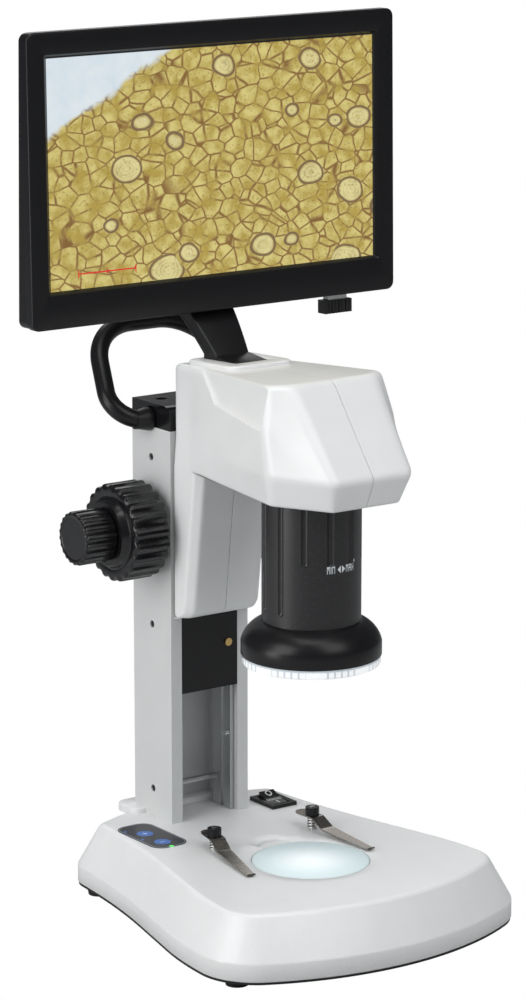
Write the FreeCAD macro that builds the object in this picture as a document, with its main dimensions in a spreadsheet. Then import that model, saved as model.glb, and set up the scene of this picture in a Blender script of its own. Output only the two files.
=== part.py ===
import FreeCAD, Part
import math
import os
import re

# LCD digital microscope, millimetres.
# +X is the object's right, +Y its back, +Z up. The origin is on the table, midway between the base's
# front edge and the back of the carrying handle.

VEC = FreeCAD.Vector
doc = FreeCAD.newDocument("LcdMicroscope")

# Driving dimensions: alias, value, meaning.
SIZES = [
    ("foot_height", 5.0, "rubber feet below the bottom plate"),
    ("foot_radius", 6.5, "rubber foot"),
    ("foot_front_x", 77.0, "front feet from the centre line"),
    ("foot_front_y", -80.0, "front feet"),
    ("foot_rear_x", 57.0, "rear feet from the centre line"),
    ("foot_rear_y", 74.0, "rear feet"),
    ("floor_plate", 1.2, "bottom plate thickness"),
    ("base_height", 32.0, "bottom plate's underside to the base's top"),
    ("base_front", -119.0, "front edge of the base"),
    ("base_rear", 102.0, "rear edge of the base"),
    ("base_width", 185.0, "widest point of the base"),
    ("base_waist", 140.0, "base width beside the column"),
    ("base_slope", 12.0, "how far the sloping sides lean in"),
    ("skirt_height", 10.5, "upright skirt below the sloping sides"),
    ("base_wall", 2.5, "wall of the base housing"),
    ("boss_height", 3.0, "raised boss behind the column"),
    ("boss_width", 62.0, "raised boss"),
    ("stage_radius", 30.0, "stage plate"),
    ("stage_thick", 3.0, "stage plate"),
    ("stage_gap", 0.3, "gap round the stage plate"),
    ("optic_reach", 89.5, "column face to the optical axis"),
    ("panel_width", 21.0, "touch panel"),
    ("panel_length", 42.0, "touch panel"),
    ("panel_x", -44.0, "touch panel centre"),
    ("panel_y", 43.5, "touch panel centre"),
    ("switch_width", 15.6, "switch frame"),
    ("switch_length", 21.2, "switch frame"),
    ("switch_x", 41.0, "switch centre"),
    ("switch_y", 54.2, "switch centre"),
    ("clip_x", 31.0, "clip studs from the centre line"),
    ("clip_y", 5.5, "clip studs"),
    ("clip_lean_left", 12.0, "left clip turns outwards at rest, degrees"),
    ("clip_lean_right", 3.0, "right clip turns outwards at rest, clear of the stage plate, degrees"),
    ("clip_height", 6.9, "underside of the clip strip above the base"),
    ("clip_thick", 0.8, "clip strip"),
    ("clip_finger", 48.0, "stud to the clip's tip"),
    ("stud_radius", 1.5, "clip stud"),
    ("spring_wire", 0.8, "clip spring wire diameter"),
    ("spring_radius", 2.3, "clip spring mean radius"),
    ("spring_turns", 4.0, "clip spring"),
    ("clip_knob_radius", 3.6, "clip knob"),
    ("clip_knob_height", 4.2, "clip knob"),
    ("col_width", 48.4, "column profile"),
    ("col_depth", 34.8, "column profile"),
    ("col_height", 209.6, "column profile"),
    ("col_front", 54.0, "front face of the column"),
    ("col_wall", 3.0, "column walls"),
    ("col_opening", 35.2, "opening between the lips"),
    ("rail_width", 6.0, "guide rail"),
    ("rail_depth", 16.0, "guide rail"),
    ("rod_radius", 1.65, "cross rods"),
    ("rod_low", 15.4, "lowest cross rod above the base"),
    ("rod_high", 16.0, "highest cross rod below the column's top"),
    ("cap_height", 12.4, "column cap"),
    ("shaft_above", 156.6, "knob axis above the base"),
    ("shaft_back", 17.5, "knob axis behind the column face"),
    ("shaft_radius", 3.5, "hollow pinion shaft"),
    ("fine_radius", 1.9, "fine focusing shaft"),
    ("run_gap", 0.08, "radial clearance of turning fits"),
    ("gear_module", 0.8, "rack and pinion"),
    ("pinion_teeth", 12.0, "pinion"),
    ("knob_radius", 25.5, "coarse knob"),
    ("knob_length", 21.0, "coarse knob"),
    ("knob_gap", 4.8, "column wall to the coarse knob"),
    ("knob_scallops", 22.0, "coarse knob"),
    ("scallop_radius", 4.2, "coarse knob's grips"),
    ("scallop_depth", 1.2, "coarse knob's grips"),
    ("hub_radius", 18.0, "boss outside the coarse knob"),
    ("hub_length", 3.5, "boss outside the coarse knob"),
    ("fine_knob_radius", 14.0, "fine knob"),
    ("flute_radius", 2.6, "fine knob's flutes"),
    ("flute_depth", 0.75, "fine knob's flutes"),
    ("fine_knob_length", 18.5, "fine knob"),
    ("fine_flutes", 22.0, "fine knob"),
    ("slide_low", 69.4, "slide plate's lower edge above the base"),
    ("slide_length", 112.0, "slide plate"),
    ("slide_thick", 2.2, "slide plate"),
    ("head_gap", 1.6, "column face to the head"),
    ("head_half", 23.4, "half width of the neck"),
    ("head_wall", 2.5, "head shells"),
    ("head_under", 191.5, "underside of the head above the base"),
    ("belt_above", 207.0, "belt line of the head above the base"),
    ("neck_low", 112.0, "lower end of the neck above the base"),
    ("head_top_rear", 245.5, "head's top above the base, at the back"),
    ("head_top_front", 251.0, "head's top above the base, at the front"),
    ("head_reach", 141.0, "column face to the head's front at the belt"),
    ("collar_height", 2.2, "collar round the arm"),
    ("barrel_radius", 25.0, "camera barrel"),
    ("barrel_wall", 1.6, "camera barrel"),
    ("bell_radius", 35.5, "bell skirt"),
    ("bell_low", 108.7, "bell skirt's lower edge above the base"),
    ("ring_height", 4.6, "clear light ring"),
    ("window_angle", 108.0, "window in the barrel, degrees"),
    ("window_corner", 2.5, "window's rounded corners"),
    ("zoom_gap", 0.3, "between the zoom ring and its neighbours"),
    ("zoom_low", 128.0, "zoom ring's lower edge above the base"),
    ("zoom_height", 24.0, "zoom ring"),
    ("handle_tube", 4.7, "handle tube radius"),
    ("hub_swell", 1.7, "handle hub beyond the tube's radius"),
    ("hub_taper", 9.0, "length over which the hub narrows to the tube"),
    ("handle_half", 47.1, "half width of the handle at its feet"),
    ("handle_top", 31.3, "half width of the handle at its grip"),
    ("handle_reach", 59.2, "pivot to the grip's centre line"),
    ("handle_lean", 44.4, "handle's lean from upright, degrees"),
    ("handle_back", 18.9, "handle pivot behind the column face"),
    ("handle_up", 4.0, "handle pivot above the column's top"),
    ("mon_width", 223.5, "monitor"),
    ("mon_height", 146.8, "monitor"),
    ("mon_above", 271.3, "monitor's lower edge above the base"),
    ("mon_ahead", 9.5, "monitor's front ahead of the column face"),
    ("mon_lean", 1.0, "monitor's lean back at rest, degrees"),
    ("bezel_depth", 5.6, "front bezel"),
    ("view_width", 199.0, "display"),
    ("view_height", 115.0, "display"),
    ("view_raise", 3.0, "display centre above the bezel's centre"),
    ("shell_top", 10.4, "monitor depth at its top"),
    ("shell_low", 16.2, "monitor depth at its bottom"),
    ("shell_wall", 2.0, "monitor rear shell"),
    ("led_inset", 5.95, "power light from the monitor's side edge"),
    ("led_raise", 7.4, "power light above the monitor's lower edge"),
    ("led_radius", 0.8, "power light"),
    ("usb_inset", 32.45, "USB socket's centre from the monitor's side edge"),
    ("board_inset", 11.75, "monitor board from the monitor's side edge"),
    ("board_width", 70.0, "monitor board"),
    ("mon_screw_inset", 7.75, "monitor screws from the monitor's side edge"),
    ("hinge_back", 8.0, "monitor hinge behind the column face"),
    ("hinge_above", 284.0, "monitor hinge above the base"),
    ("hinge_radius", 4.8, "arm's hinge barrel"),
    ("pin_radius", 2.0, "monitor hinge pin"),
    ("arm_half_low", 10.0, "half width of the arm at the collar"),
    ("arm_half_top", 13.6, "half width of the arm at the hinge"),
    ("screw_radius", 1.5, "small screws"),
]

# Values worked out from the driving ones: alias, formula.
DERIVED = [
    ("base_low", "=foot_height"),
    ("shell_floor", "=foot_height + floor_plate"),
    ("base_top", "=foot_height + base_height"),
    ("col_rear", "=col_front + col_depth"),
    ("col_top", "=base_top + col_height"),
    ("cap_top", "=col_top + cap_height"),
    ("optic_y", "=col_front - optic_reach"),
    ("shaft_y", "=col_front + shaft_back"),
    ("shaft_z", "=base_top + shaft_above"),
    ("pitch_radius", "=gear_module * pinion_teeth / 2"),
    ("inner_half", "=col_width / 2 - col_wall"),
    ("slide_z", "=base_top + slide_low"),
    ("head_back", "=col_front - head_gap"),
    ("head_front", "=col_front - head_reach"),
    ("barrel_top", "=base_top + head_under + 27"),
    ("bell_z", "=base_top + bell_low"),
    ("ring_z", "=base_top + bell_low - ring_height"),
    ("zoom_z", "=base_top + zoom_low"),
    ("barrel_bore", "=barrel_radius - barrel_wall"),
    ("handle_y", "=col_front + handle_back"),
    ("handle_z", "=col_top + handle_up"),
    ("mon_front", "=col_front - mon_ahead"),
    ("mon_low", "=base_top + mon_above"),
    ("mon_back", "=mon_front + bezel_depth"),
    ("hinge_y", "=col_front + hinge_back"),
    ("hinge_z", "=base_top + hinge_above"),
]

sheet = doc.addObject("Spreadsheet::Sheet", "Dims")
for line, (alias, value, meaning) in enumerate(SIZES, 1):
    sheet.set(f"A{line}", meaning)
    sheet.set(f"B{line}", str(value))
    sheet.setAlias(f"B{line}", alias)
for line, (alias, formula) in enumerate(DERIVED, len(SIZES) + 1):
    sheet.set(f"B{line}", formula)
    sheet.setAlias(f"B{line}", alias)
doc.recompute()

DIM = {name: float(sheet.get(name)) for name, *_ in SIZES + DERIVED}
NODES = []


# Helpers: primitives bound to the sheet, booleans, outlines.

def link(text):
    """An expression on the sheet: each alias in the text is read from the spreadsheet."""
    return re.sub(r"[a-z][a-z_]*", lambda found: "Dims." + found.group(0), str(text))


def bind(obj, **sizes):
    """Bind properties of an object to expressions on the sheet."""
    for name, text in sizes.items():
        obj.setExpression(name, link(text))


def place(obj, at):
    """Bind an object's position to three expressions."""
    for axis, text in zip("xyz", at):
        obj.setExpression("Placement.Base." + axis, link(text))


def block(label, size, corner):
    """A box from its size and its lowest corner."""
    obj = doc.addObject("Part::Box", label)
    bind(obj, Length=size[0], Width=size[1], Height=size[2])
    place(obj, corner)
    return obj


def centred_block(label, size, centre):
    """A box that is centred in X and Y on a point, and stands on its Z."""
    corner = (f"{centre[0]} - ({size[0]}) / 2", f"{centre[1]} - ({size[1]}) / 2", centre[2])
    return block(label, size, corner)


TURN = {
    "z": FreeCAD.Rotation(),
    "x": FreeCAD.Rotation(VEC(0, 1, 0), 90),
    "-x": FreeCAD.Rotation(VEC(0, 1, 0), -90),
    "y": FreeCAD.Rotation(VEC(1, 0, 0), -90),
    "-y": FreeCAD.Rotation(VEC(1, 0, 0), 90),
    "-z": FreeCAD.Rotation(VEC(1, 0, 0), 180),
}


def rod(label, radius, length, start, axis="z"):
    """A cylinder from its start point along an axis."""
    obj = doc.addObject("Part::Cylinder", label)
    bind(obj, Radius=radius, Height=length)
    obj.Placement = FreeCAD.Placement(VEC(), TURN[axis])
    place(obj, start)
    return obj


def cone(label, radius_start, radius_end, length, start, axis="z"):
    """A cone from its start point along an axis."""
    obj = doc.addObject("Part::Cone", label)
    bind(obj, Radius1=radius_start, Radius2=radius_end, Height=length)
    obj.Placement = FreeCAD.Placement(VEC(), TURN[axis])
    place(obj, start)
    return obj


def join(label, parts):
    """One solid from touching pieces."""
    obj = doc.addObject("Part::MultiFuse", label)
    obj.Shapes = parts
    return obj


def group(label, parts):
    """Separate like pieces that share a node."""
    obj = doc.addObject("Part::Compound", label)
    obj.Links = parts
    return obj


def cut(label, base, tools):
    """A piece with tools taken away."""
    obj = doc.addObject("Part::Cut", label)
    obj.Base = base
    obj.Tool = tools[0] if len(tools) == 1 else join(label + "_cuts", tools)
    return obj


def form(label, shape):
    """A free form that was worked out from the sheet's values."""
    obj = doc.addObject("Part::Feature", label)
    obj.Shape = shape
    return obj


def node(name, obj, placement=None):
    """Name a finished sub-part."""
    obj.Label = name
    if placement is not None:
        obj.Placement = placement
    NODES.append(obj)
    return obj


def rounded(points, z=0.0):
    """A closed wire through (x, y, radius) corners, each rounded by a tangent arc."""
    count = len(points)
    edges = []
    runs = []
    for index, (x, y, radius) in enumerate(points):
        here = VEC(x, y, z)
        before = VEC(*points[index - 1][:2], z)
        after = VEC(*points[(index + 1) % count][:2], z)
        inward = (before - here).normalize()
        outward = (after - here).normalize()
        half = inward.getAngle(outward) / 2
        if radius <= 0:
            runs.append((here, here, None))
            continue
        back = radius / math.tan(half)
        middle = (inward + outward).normalize() * (radius / math.sin(half) - radius)
        runs.append((here + inward * back, here + outward * back, here + middle))
    for index, (start, end, middle) in enumerate(runs):
        if middle is not None:
            edges.append(Part.Arc(start, middle, end).toShape())
        following = runs[(index + 1) % count][0]
        if (following - end).Length > 1e-6:
            edges.append(Part.LineSegment(end, following).toShape())
    return Part.Wire(edges)


def solid_loft(wires, ruled=True):
    """A closed solid through wires."""
    return Part.makeLoft(wires, True, ruled)


def upright_prism(points, x_low, x_high):
    """A solid between two X values from a closed outline of (y, z, radius) corners."""
    wire = rounded(points)
    wire.transformShape(FreeCAD.Matrix(0, 0, 1, x_low, 1, 0, 0, 0, 0, 1, 0, 0, 0, 0, 0, 1))
    return Part.Face(wire).extrude(VEC(x_high - x_low, 0, 0))


def box_shape(low, high):
    """A plain box between two corners."""
    size = [top - bottom for bottom, top in zip(low, high)]
    return Part.makeBox(*size, VEC(*low))


def tube_path(points, radii):
    """Straight runs joined by tangent arcs, as one open wire."""
    edges = []
    start = points[0]
    for index in range(1, len(points) - 1):
        here = points[index]
        inward = (points[index - 1] - here).normalize()
        outward = (points[index + 1] - here).normalize()
        half = inward.getAngle(outward) / 2
        radius = radii[index - 1]
        back = radius / math.tan(half)
        middle = (inward + outward).normalize() * (radius / math.sin(half) - radius)
        edges.append(Part.LineSegment(start, here + inward * back).toShape())
        edges.append(Part.Arc(here + inward * back, here + middle, here + outward * back).toShape())
        start = here + outward * back
    edges.append(Part.LineSegment(start, points[-1]).toShape())
    return Part.Wire(edges)


def sweep_round(path, radius):
    """A round tube along a wire."""
    first = path.Edges[0]
    along = first.tangentAt(first.FirstParameter)
    ring = Part.Wire(Part.makeCircle(radius, first.valueAt(first.FirstParameter), along))
    return path.makePipeShell([ring], True, False)


# Base

def base_outline(inset, z):
    """The base's outline: bowed front, waisted sides, bowed rear; inset moves it inwards."""
    half = DIM["base_width"] / 2
    waist = DIM["base_waist"] / 2
    front = DIM["base_front"]
    rear = DIM["base_rear"]
    right = [
        (half + 0.9, front + 27.5, 32.0),
        (half - 1.5, front + 69.0, 200.0),
        (waist, front + 157.0, 460.0),
        (waist - 4.0, rear - 16.5, 16.0),
    ]
    left = [(-x, y, radius) for x, y, radius in reversed(right)]
    outline = [(0.0, front - 20.4, 164.0)] + right + [(0.0, rear + 10.7, 132.0)] + left
    wire = rounded(outline, z)
    return wire.makeOffset2D(-inset) if inset else wire


def base_body(inset, low, high):
    """Upright skirt and sloping sides between two heights; inset gives the hollow."""
    belt = DIM["base_low"] + DIM["skirt_height"]
    rise = DIM["base_top"] - belt
    lean = DIM["base_slope"] * (high - belt) / rise
    skirt = solid_loft([base_outline(inset, low), base_outline(inset, belt)])
    slope = solid_loft([base_outline(inset, belt), base_outline(inset + lean, high)])
    return skirt.fuse(slope)


def column_screw_places():
    """Screws that go up through the base into the lower ends of the guide rails."""
    middle = "(inner_half - rail_width / 2)"
    return [(x, y) for x in (middle, "-" + middle) for y in ("col_front + 7", "col_front + 15")]


def base_housing():
    wall = DIM["base_wall"]
    top = DIM["base_top"]
    outer = base_body(0.0, DIM["shell_floor"], top)
    hollow = base_body(wall, DIM["shell_floor"] - 1, top - wall)
    half = DIM["boss_width"] / 2
    boss_front = DIM["col_rear"] - 10
    boss_rear = DIM["base_rear"] - 4
    boss_low = DIM["shell_floor"] + DIM["skirt_height"]
    corners = [(-half, boss_front, 0), (half, boss_front, 0), (half, boss_rear, 6), (-half, boss_rear, 6)]
    boss = Part.Face(rounded(corners, boss_low)).extrude(VEC(0, 0, top + DIM["boss_height"] - boss_low))
    shell = form("base_shell", outer.cut(hollow).fuse(boss.cut(hollow)).removeSplitter())
    fit = 0.2
    seat = centred_block("column_seat", (f"col_width + {2 * fit}", f"col_depth + {2 * fit}", "20"),
                         ("0", "col_front + col_depth / 2", "base_top"))
    stage = rod("stage_recess", "stage_radius + stage_gap", "stage_thick + 1",
                ("0", "optic_y", "base_top - stage_thick"))
    light = rod("stage_light_hole", "stage_radius - 3", "stage_thick + 20",
                ("0", "optic_y", "base_top - stage_thick - 10"))
    notch = rod("thumb_notch", "9", "stage_thick", ("0", "optic_y + stage_radius", "base_top - 1.6"))
    panel = centred_block("panel_recess", ("panel_width + 0.2", "panel_length + 0.2", "3"),
                          ("panel_x", "panel_y", "base_top - 1"))
    window = centred_block("switch_hole", ("switch_width - 2.4", "switch_length - 2.4", "20"),
                           ("switch_x", "switch_y", "base_top - 10"))
    jack = rod("jack_hole", "5", "20", ("0", "base_rear - 12", "base_low + 8"), "y")
    studs = [rod("stud_hole", "stud_radius", "base_wall + 2", (x, "clip_y", "base_top - base_wall - 1"))
             for x in ("clip_x", "-clip_x")]
    screws = [rod("column_screw_hole", "screw_radius + 0.3", "base_wall + 4",
                  (x, y, "base_top - base_wall - 2"))
              for x, y in column_screw_places()]
    cable = rod("cable_hole", "4", "base_wall + 4", ("0", "col_rear - 9", "base_top - base_wall - 2"))
    tools = [seat, stage, light, notch, panel, window, jack, cable] + studs + screws
    ledge = cut("stage_ledge", rod("ledge_body", "stage_radius + 3", "2.5",
                                   ("0", "optic_y", "base_top - stage_thick - 2.5")), [
        rod("ledge_bore", "stage_radius - 3", "6", ("0", "optic_y", "base_top - stage_thick - 4"))])
    carved = cut("base_carved", shell, tools)
    node("base_housing", join("base_joined", [carved, ledge]))


def bottom_plate():
    inset = 0.4
    blank = Part.Face(base_outline(inset, DIM["base_low"])).extrude(VEC(0, 0, DIM["floor_plate"]))
    node("bottom_plate", form("floor_blank", blank))
    feet = []
    for x in ("foot_front_x", "-foot_front_x"):
        feet.append(cone("foot", "foot_radius - 0.8", "foot_radius", "foot_height", (x, "foot_front_y", "0")))
    for x in ("foot_rear_x", "-foot_rear_x"):
        feet.append(cone("foot", "foot_radius - 0.8", "foot_radius", "foot_height", (x, "foot_rear_y", "0")))
    node("rubber_feet", group("feet", feet))


def base_screws():
    """Pan screws under the column's foot, inside the base."""
    parts = []
    for x, y in column_screw_places():
        head = rod("screw_head", "screw_radius * 2", "2", (x, y, "base_top - base_wall - 2"))
        shank = rod("screw_shank", "screw_radius", "base_wall + 8", (x, y, "base_top - base_wall - 0.5"))
        parts.append(join("column_screw", [head, shank]))
    node("base_screws", group("base_screw_set", parts))


def stage():
    plate = rod("stage_disc", "stage_radius", "stage_thick", ("0", "optic_y", "base_top - stage_thick"))
    notch = rod("stage_notch", "7", "1.8", ("0", "optic_y + stage_radius + 2.5", "base_top - 1.6"))
    node("stage_plate", cut("stage_notched", plate, [notch]))
    board = rod("board_disc", "stage_radius - 4", "1.6", ("0", "optic_y", "base_low + 8"))
    posts = [rod("board_post", "2", "8 - floor_plate", (x, y, "shell_floor"))
             for x in ("18", "-18") for y in ("optic_y + 12", "optic_y - 12")]
    node("light_board", join("board_on_posts", [board] + posts))
    lamps = []
    for index in range(6):
        angle = math.radians(60 * index)
        lamps.append(rod("stage_lamp", "2.5", "3",
                         (f"{14 * math.cos(angle):.4f}", f"optic_y + {14 * math.sin(angle):.4f}",
                          "base_low + 9.6")))
    node("stage_leds", group("stage_lamp_set", lamps))


def controls():
    low = "base_top - 1"
    corners = [(-0.5, -0.5, 7), (0.5, -0.5, 7), (0.5, 0.5, 7), (-0.5, 0.5, 7)]
    wide, long = DIM["panel_width"], DIM["panel_length"]
    outline = [(DIM["panel_x"] + x * wide, DIM["panel_y"] + y * long, r) for x, y, r in corners]
    film = Part.Face(rounded(outline, DIM["base_top"] - 1)).extrude(VEC(0, 0, 1.3))
    node("touch_panel", form("touch_film", film))
    frame = centred_block("switch_flange", ("switch_width", "switch_length", "2"),
                          ("switch_x", "switch_y", "base_top"))
    body = centred_block("switch_body", ("switch_width - 2.8", "switch_length - 2.8", "13"),
                         ("switch_x", "switch_y", "base_top - 13"))
    well = centred_block("switch_well", ("switch_width - 5.6", "switch_length - 4", "12"),
                         ("switch_x", "switch_y", "base_top - 9"))
    axle = [rod("switch_pivot_hole", "1.1", "switch_width - 3", ("switch_x - switch_width / 2 + 1.5",
                                                               "switch_y", "base_top + 0.5"), "x")]
    node("switch_frame", cut("switch_case", join("switch_solid", [frame, body]), [well] + axle))
    y, z = DIM["switch_y"], DIM["base_top"] + 0.5
    reach = DIM["switch_length"] / 2 - 3.7
    half = DIM["switch_width"] / 2 - 3.2
    tip = [(y - reach, z + 1.1, 0), (y, z + 1.5, 9), (y + reach, z + 4.8, 0.4),
           (y + reach - 0.8, z - 1.0, 0), (y, z - 4.0, 0), (y - reach + 1.6, z - 2.0, 0)]
    paddle = upright_prism(tip, DIM["switch_x"] - half, DIM["switch_x"] + half)
    pivot = Part.makeCylinder(1.05, 2 * half + 3.0, VEC(DIM["switch_x"] - half - 1.5, y, z), VEC(1, 0, 0))
    node("switch_rocker", form("rocker_body", paddle.fuse(pivot).removeSplitter()))
    board = centred_block("control_board_body", ("60", "40", "1.6"), ("-20", "52", "base_low + 9"))
    posts = [rod("control_post", "2", "9 - floor_plate", (x, y, "shell_floor"))
             for x in ("-45", "5") for y in ("38", "66")]
    node("control_board", join("control_board_posts", [board] + posts))
    shell = rod("jack_body", "4.9", "14", ("0", "base_rear - 13", "base_low + 8"), "y")
    hole = rod("jack_bore", "2.8", "10", ("0", "base_rear - 8", "base_low + 8"), "y")
    flange = rod("jack_flange", "6.5", "2", ("0", "base_rear - 13.5", "base_low + 8"), "y")
    tip_pin = rod("jack_pin", "1", "8", ("0", "base_rear - 9", "base_low + 8"), "y")
    node("power_jack", join("jack_all", [cut("jack_hollow", join("jack_solid", [shell, flange]), [hole]),
                                         tip_pin]))


# Stage clips

def clip_strip(side):
    """A steel strip: round tab, flat with the stud's hole, a step down and a tapered finger."""
    rise, thick = DIM["clip_height"], DIM["clip_thick"]
    long = DIM["clip_finger"]
    low = 1.3
    profile = [(11.5, rise, 0), (-4.5, rise, 2.5), (-12.5, low + 1.4, 6), (-long + 2, low - 0.9, 0),
               (-long, low - 0.2, 0), (-long + 0.2, low - 0.2 + thick, 0), (-long + 2, low - 0.9 + thick, 0),
               (-12.3, low + 1.4 + thick, 6), (-4.2, rise + thick, 2.5), (11.5, rise + thick, 0)]
    sheet_part = upright_prism(profile, -6, 6)
    plan = [(-4.0, 8.0, 0), (-4.0, -11.0, 3), (-2.2, -long, 0), (2.2, -long, 0), (4.0, -11.0, 3), (4.0, 8.0, 0)]
    outline = Part.Face(rounded(plan, -2)).extrude(VEC(0, 0, 20))
    tab = Part.makeCylinder(4.0, 20, VEC(0, 7.5, -2))
    bore = Part.makeCylinder(DIM["stud_radius"] + DIM["run_gap"], 20, VEC(0, 0, 0))
    strip = sheet_part.common(outline.fuse(tab)).cut(bore).removeSplitter()
    outwards = DIM["clip_lean_right"] if side > 0 else -DIM["clip_lean_left"]
    strip.rotate(VEC(), VEC(0, 0, 1), outwards)
    strip.translate(VEC(side * DIM["clip_x"], DIM["clip_y"], DIM["base_top"]))
    return strip


def helix_point(angle, radius, pitch):
    return VEC(radius * math.cos(angle), radius * math.sin(angle), pitch * angle / (2 * math.pi))


def helix_tangent(angle, radius, pitch):
    rise = pitch / (2 * math.pi)
    return VEC(-radius * math.sin(angle), radius * math.cos(angle), rise).normalize()


def arc_from(start, along, end):
    """The arc that leaves start along a direction and ends at a point."""
    chord = end - start
    unit = VEC(chord).normalize()
    side = along - unit * along.dot(unit)
    angle = along.getAngle(unit)
    radius = chord.Length / (2 * math.sin(angle))
    middle = (start + end) * 0.5 + side.normalize() * (radius * (1 - math.cos(angle)))
    return Part.Arc(start, middle, end).toShape()


def biarc(start, along, end, leaving):
    """Two tangent arcs between two points with given directions."""
    gap = end - start
    both = along + leaving
    factor = 2 * (1 - along.dot(leaving))
    reach = (-gap.dot(both) + math.sqrt(gap.dot(both) ** 2 + factor * gap.dot(gap))) / factor
    middle = (start + along * reach + end - leaving * reach) * 0.5
    back = arc_from(end, leaving * -1, middle)
    return [arc_from(start, along, middle), Part.Arc(middle, back.valueAt(
        (back.FirstParameter + back.LastParameter) / 2), end).toShape()]


def coil(radius, wire, turns, height):
    """A round wire wound into an open coil, one unbroken tube with straight ends."""
    pitch = (height - wire) / turns
    quarters = int(round(turns * 4))
    edges = []
    first = helix_point(0, radius, pitch)
    direction = helix_tangent(0, radius, pitch)
    edges.append(Part.LineSegment(first - direction * wire, first).toShape())
    for index in range(quarters):
        low, high = index * math.pi / 2, (index + 1) * math.pi / 2
        edges += biarc(helix_point(low, radius, pitch), helix_tangent(low, radius, pitch),
                       helix_point(high, radius, pitch), helix_tangent(high, radius, pitch))
    last = helix_point(quarters * math.pi / 2, radius, pitch)
    direction = helix_tangent(quarters * math.pi / 2, radius, pitch)
    edges.append(Part.LineSegment(last, last + direction * wire).toShape())
    path = Part.Wire(edges)
    tube = sweep_round(path, wire / 2)
    expected = math.pi * wire ** 2 / 4 * path.Length
    steps = [helix_point(2 * math.pi * turns * k / 400, radius, pitch) for k in range(401)]
    apart = 400 / turns * 0.5
    least = min((steps[i] - steps[j]).Length for i in range(0, 401, 4) for j in range(401)
                if abs(i - j) > apart)
    print(f"coil: volume {tube.Volume:.3f} of {expected:.3f}, least gap to itself {least - wire:.2f} mm")
    return tube


def clips():
    springs = []
    studs = []
    space = DIM["clip_height"] - 0.3
    for side, name in ((-1, "left"), (1, "right")):
        x = "clip_x" if side > 0 else "-clip_x"
        node("clip_" + name, form("strip_" + name, clip_strip(side)))
        spring = coil(DIM["spring_radius"], DIM["spring_wire"], DIM["spring_turns"], space)
        spring.translate(VEC(side * DIM["clip_x"], DIM["clip_y"],
                             DIM["base_top"] + DIM["spring_wire"] / 2 + 0.1))
        springs.append(form("spring_" + name, spring))
        top = "base_top + clip_height + clip_thick + clip_knob_height"
        length = "base_wall + clip_height + clip_thick + clip_knob_height + 0.3"
        studs.append(rod("stud_" + name, "stud_radius", length, (x, "clip_y", "base_top - base_wall")))
        low = "base_top + clip_height + clip_thick + 0.1"
        body = rod("knob_blank", "clip_knob_radius", "clip_knob_height", (x, "clip_y", low))
        bore = rod("knob_bore", "stud_radius + run_gap", "clip_knob_height + 2", (x, "clip_y", low + " - 1"))
        flutes = []
        for index in range(16):
            angle = 2 * math.pi * index / 16
            dx, dy = math.cos(angle), math.sin(angle)
            flutes.append(rod("knob_flute", "0.35", "clip_knob_height + 2", (
                f"{x} + (clip_knob_radius + 0.1) * ({dx:.5f})",
                f"clip_y + (clip_knob_radius + 0.1) * ({dy:.5f})", low + " - 1")))
        node("clip_knob_" + name, cut("knurled_" + name, body, [bore] + flutes))
    node("clip_springs", group("spring_pair", springs))
    node("clip_studs", group("stud_pair", studs))


# Column

def rod_heights():
    return [f"base_top + rod_low + {index} * (col_height - rod_low - rod_high) / 2" for index in range(3)]


def column():
    outer = centred_block("column_outer", ("col_width", "col_depth", "col_height"),
                          ("0", "col_front + col_depth / 2", "base_top"))
    inner = block("column_inner", ("2 * inner_half", "col_depth - 2 * col_wall", "col_height + 2"),
                  ("-inner_half", "col_front + col_wall", "base_top - 1"))
    mouth = block("column_mouth", ("col_opening", "col_wall + 2", "col_height + 2"),
                  ("-col_opening / 2", "col_front - 1", "base_top - 1"))
    shaft = rod("column_shaft_hole", "shaft_radius + 2.5", "col_width + 2",
                ("-col_width / 2 - 1", "shaft_y", "shaft_z"), "x")
    holes = []
    for height in rod_heights():
        holes.append(rod("column_rod_hole", "rod_radius + 0.3", "col_width + 2",
                         ("-col_width / 2 - 1", "shaft_y", height), "x"))
    node("column_profile", cut("column_c", outer, [inner, mouth, shaft] + holes))


def rails():
    parts = []
    for side in (-1, 1):
        x = "inner_half - rail_width" if side > 0 else "-inner_half"
        bar = block("rail_bar", ("rail_width", "rail_depth", "col_height - 2"),
                    (x, "col_front + col_wall + 0.3", "base_top"))
        edge = "inner_half - rail_width - 1" if side > 0 else "-(inner_half - rail_width - 1) - 2"
        groove = block("rail_groove", ("2", "3", "col_height"), (edge, "col_front + col_wall + 6", "base_top - 1"))
        holes = [rod("rail_rod_hole", "rod_radius + 0.05", "rail_width + 2",
                     (x + " - 1", "shaft_y", height), "x") for height in rod_heights()]
        holes += [rod("rail_screw_hole", "screw_radius", "10", (across, y, "base_top - 1"))
                  for across, y in column_screw_places() if across.startswith("-") == (side < 0)]
        holes.append(rod("rail_shaft_hole", "shaft_radius + 2.5", "rail_width + 2",
                         (x + " - 1", "shaft_y", "shaft_z"), "x"))
        if side > 0:
            holes.append(rod("stop_pin_hole", "1.5", "3", ("inner_half - rail_width - 1",
                                                           "col_front + col_wall + 2.6", "base_top + 42"), "x"))
        parts.append(cut("rail", bar, [groove] + holes))
    node("guide_rails", group("rail_pair", parts))
    rods = [rod("cross_rod", "rod_radius", "2 * inner_half", ("-inner_half", "shaft_y", height), "x")
            for height in rod_heights()]
    node("tie_rods", group("rod_set", rods))
    node("stop_pin", rod("stop_pin_body", "1.5", "4.2", ("inner_half - rail_width - 2.2",
                                                         "col_front + col_wall + 2.6", "base_top + 42"), "x"))


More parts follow.
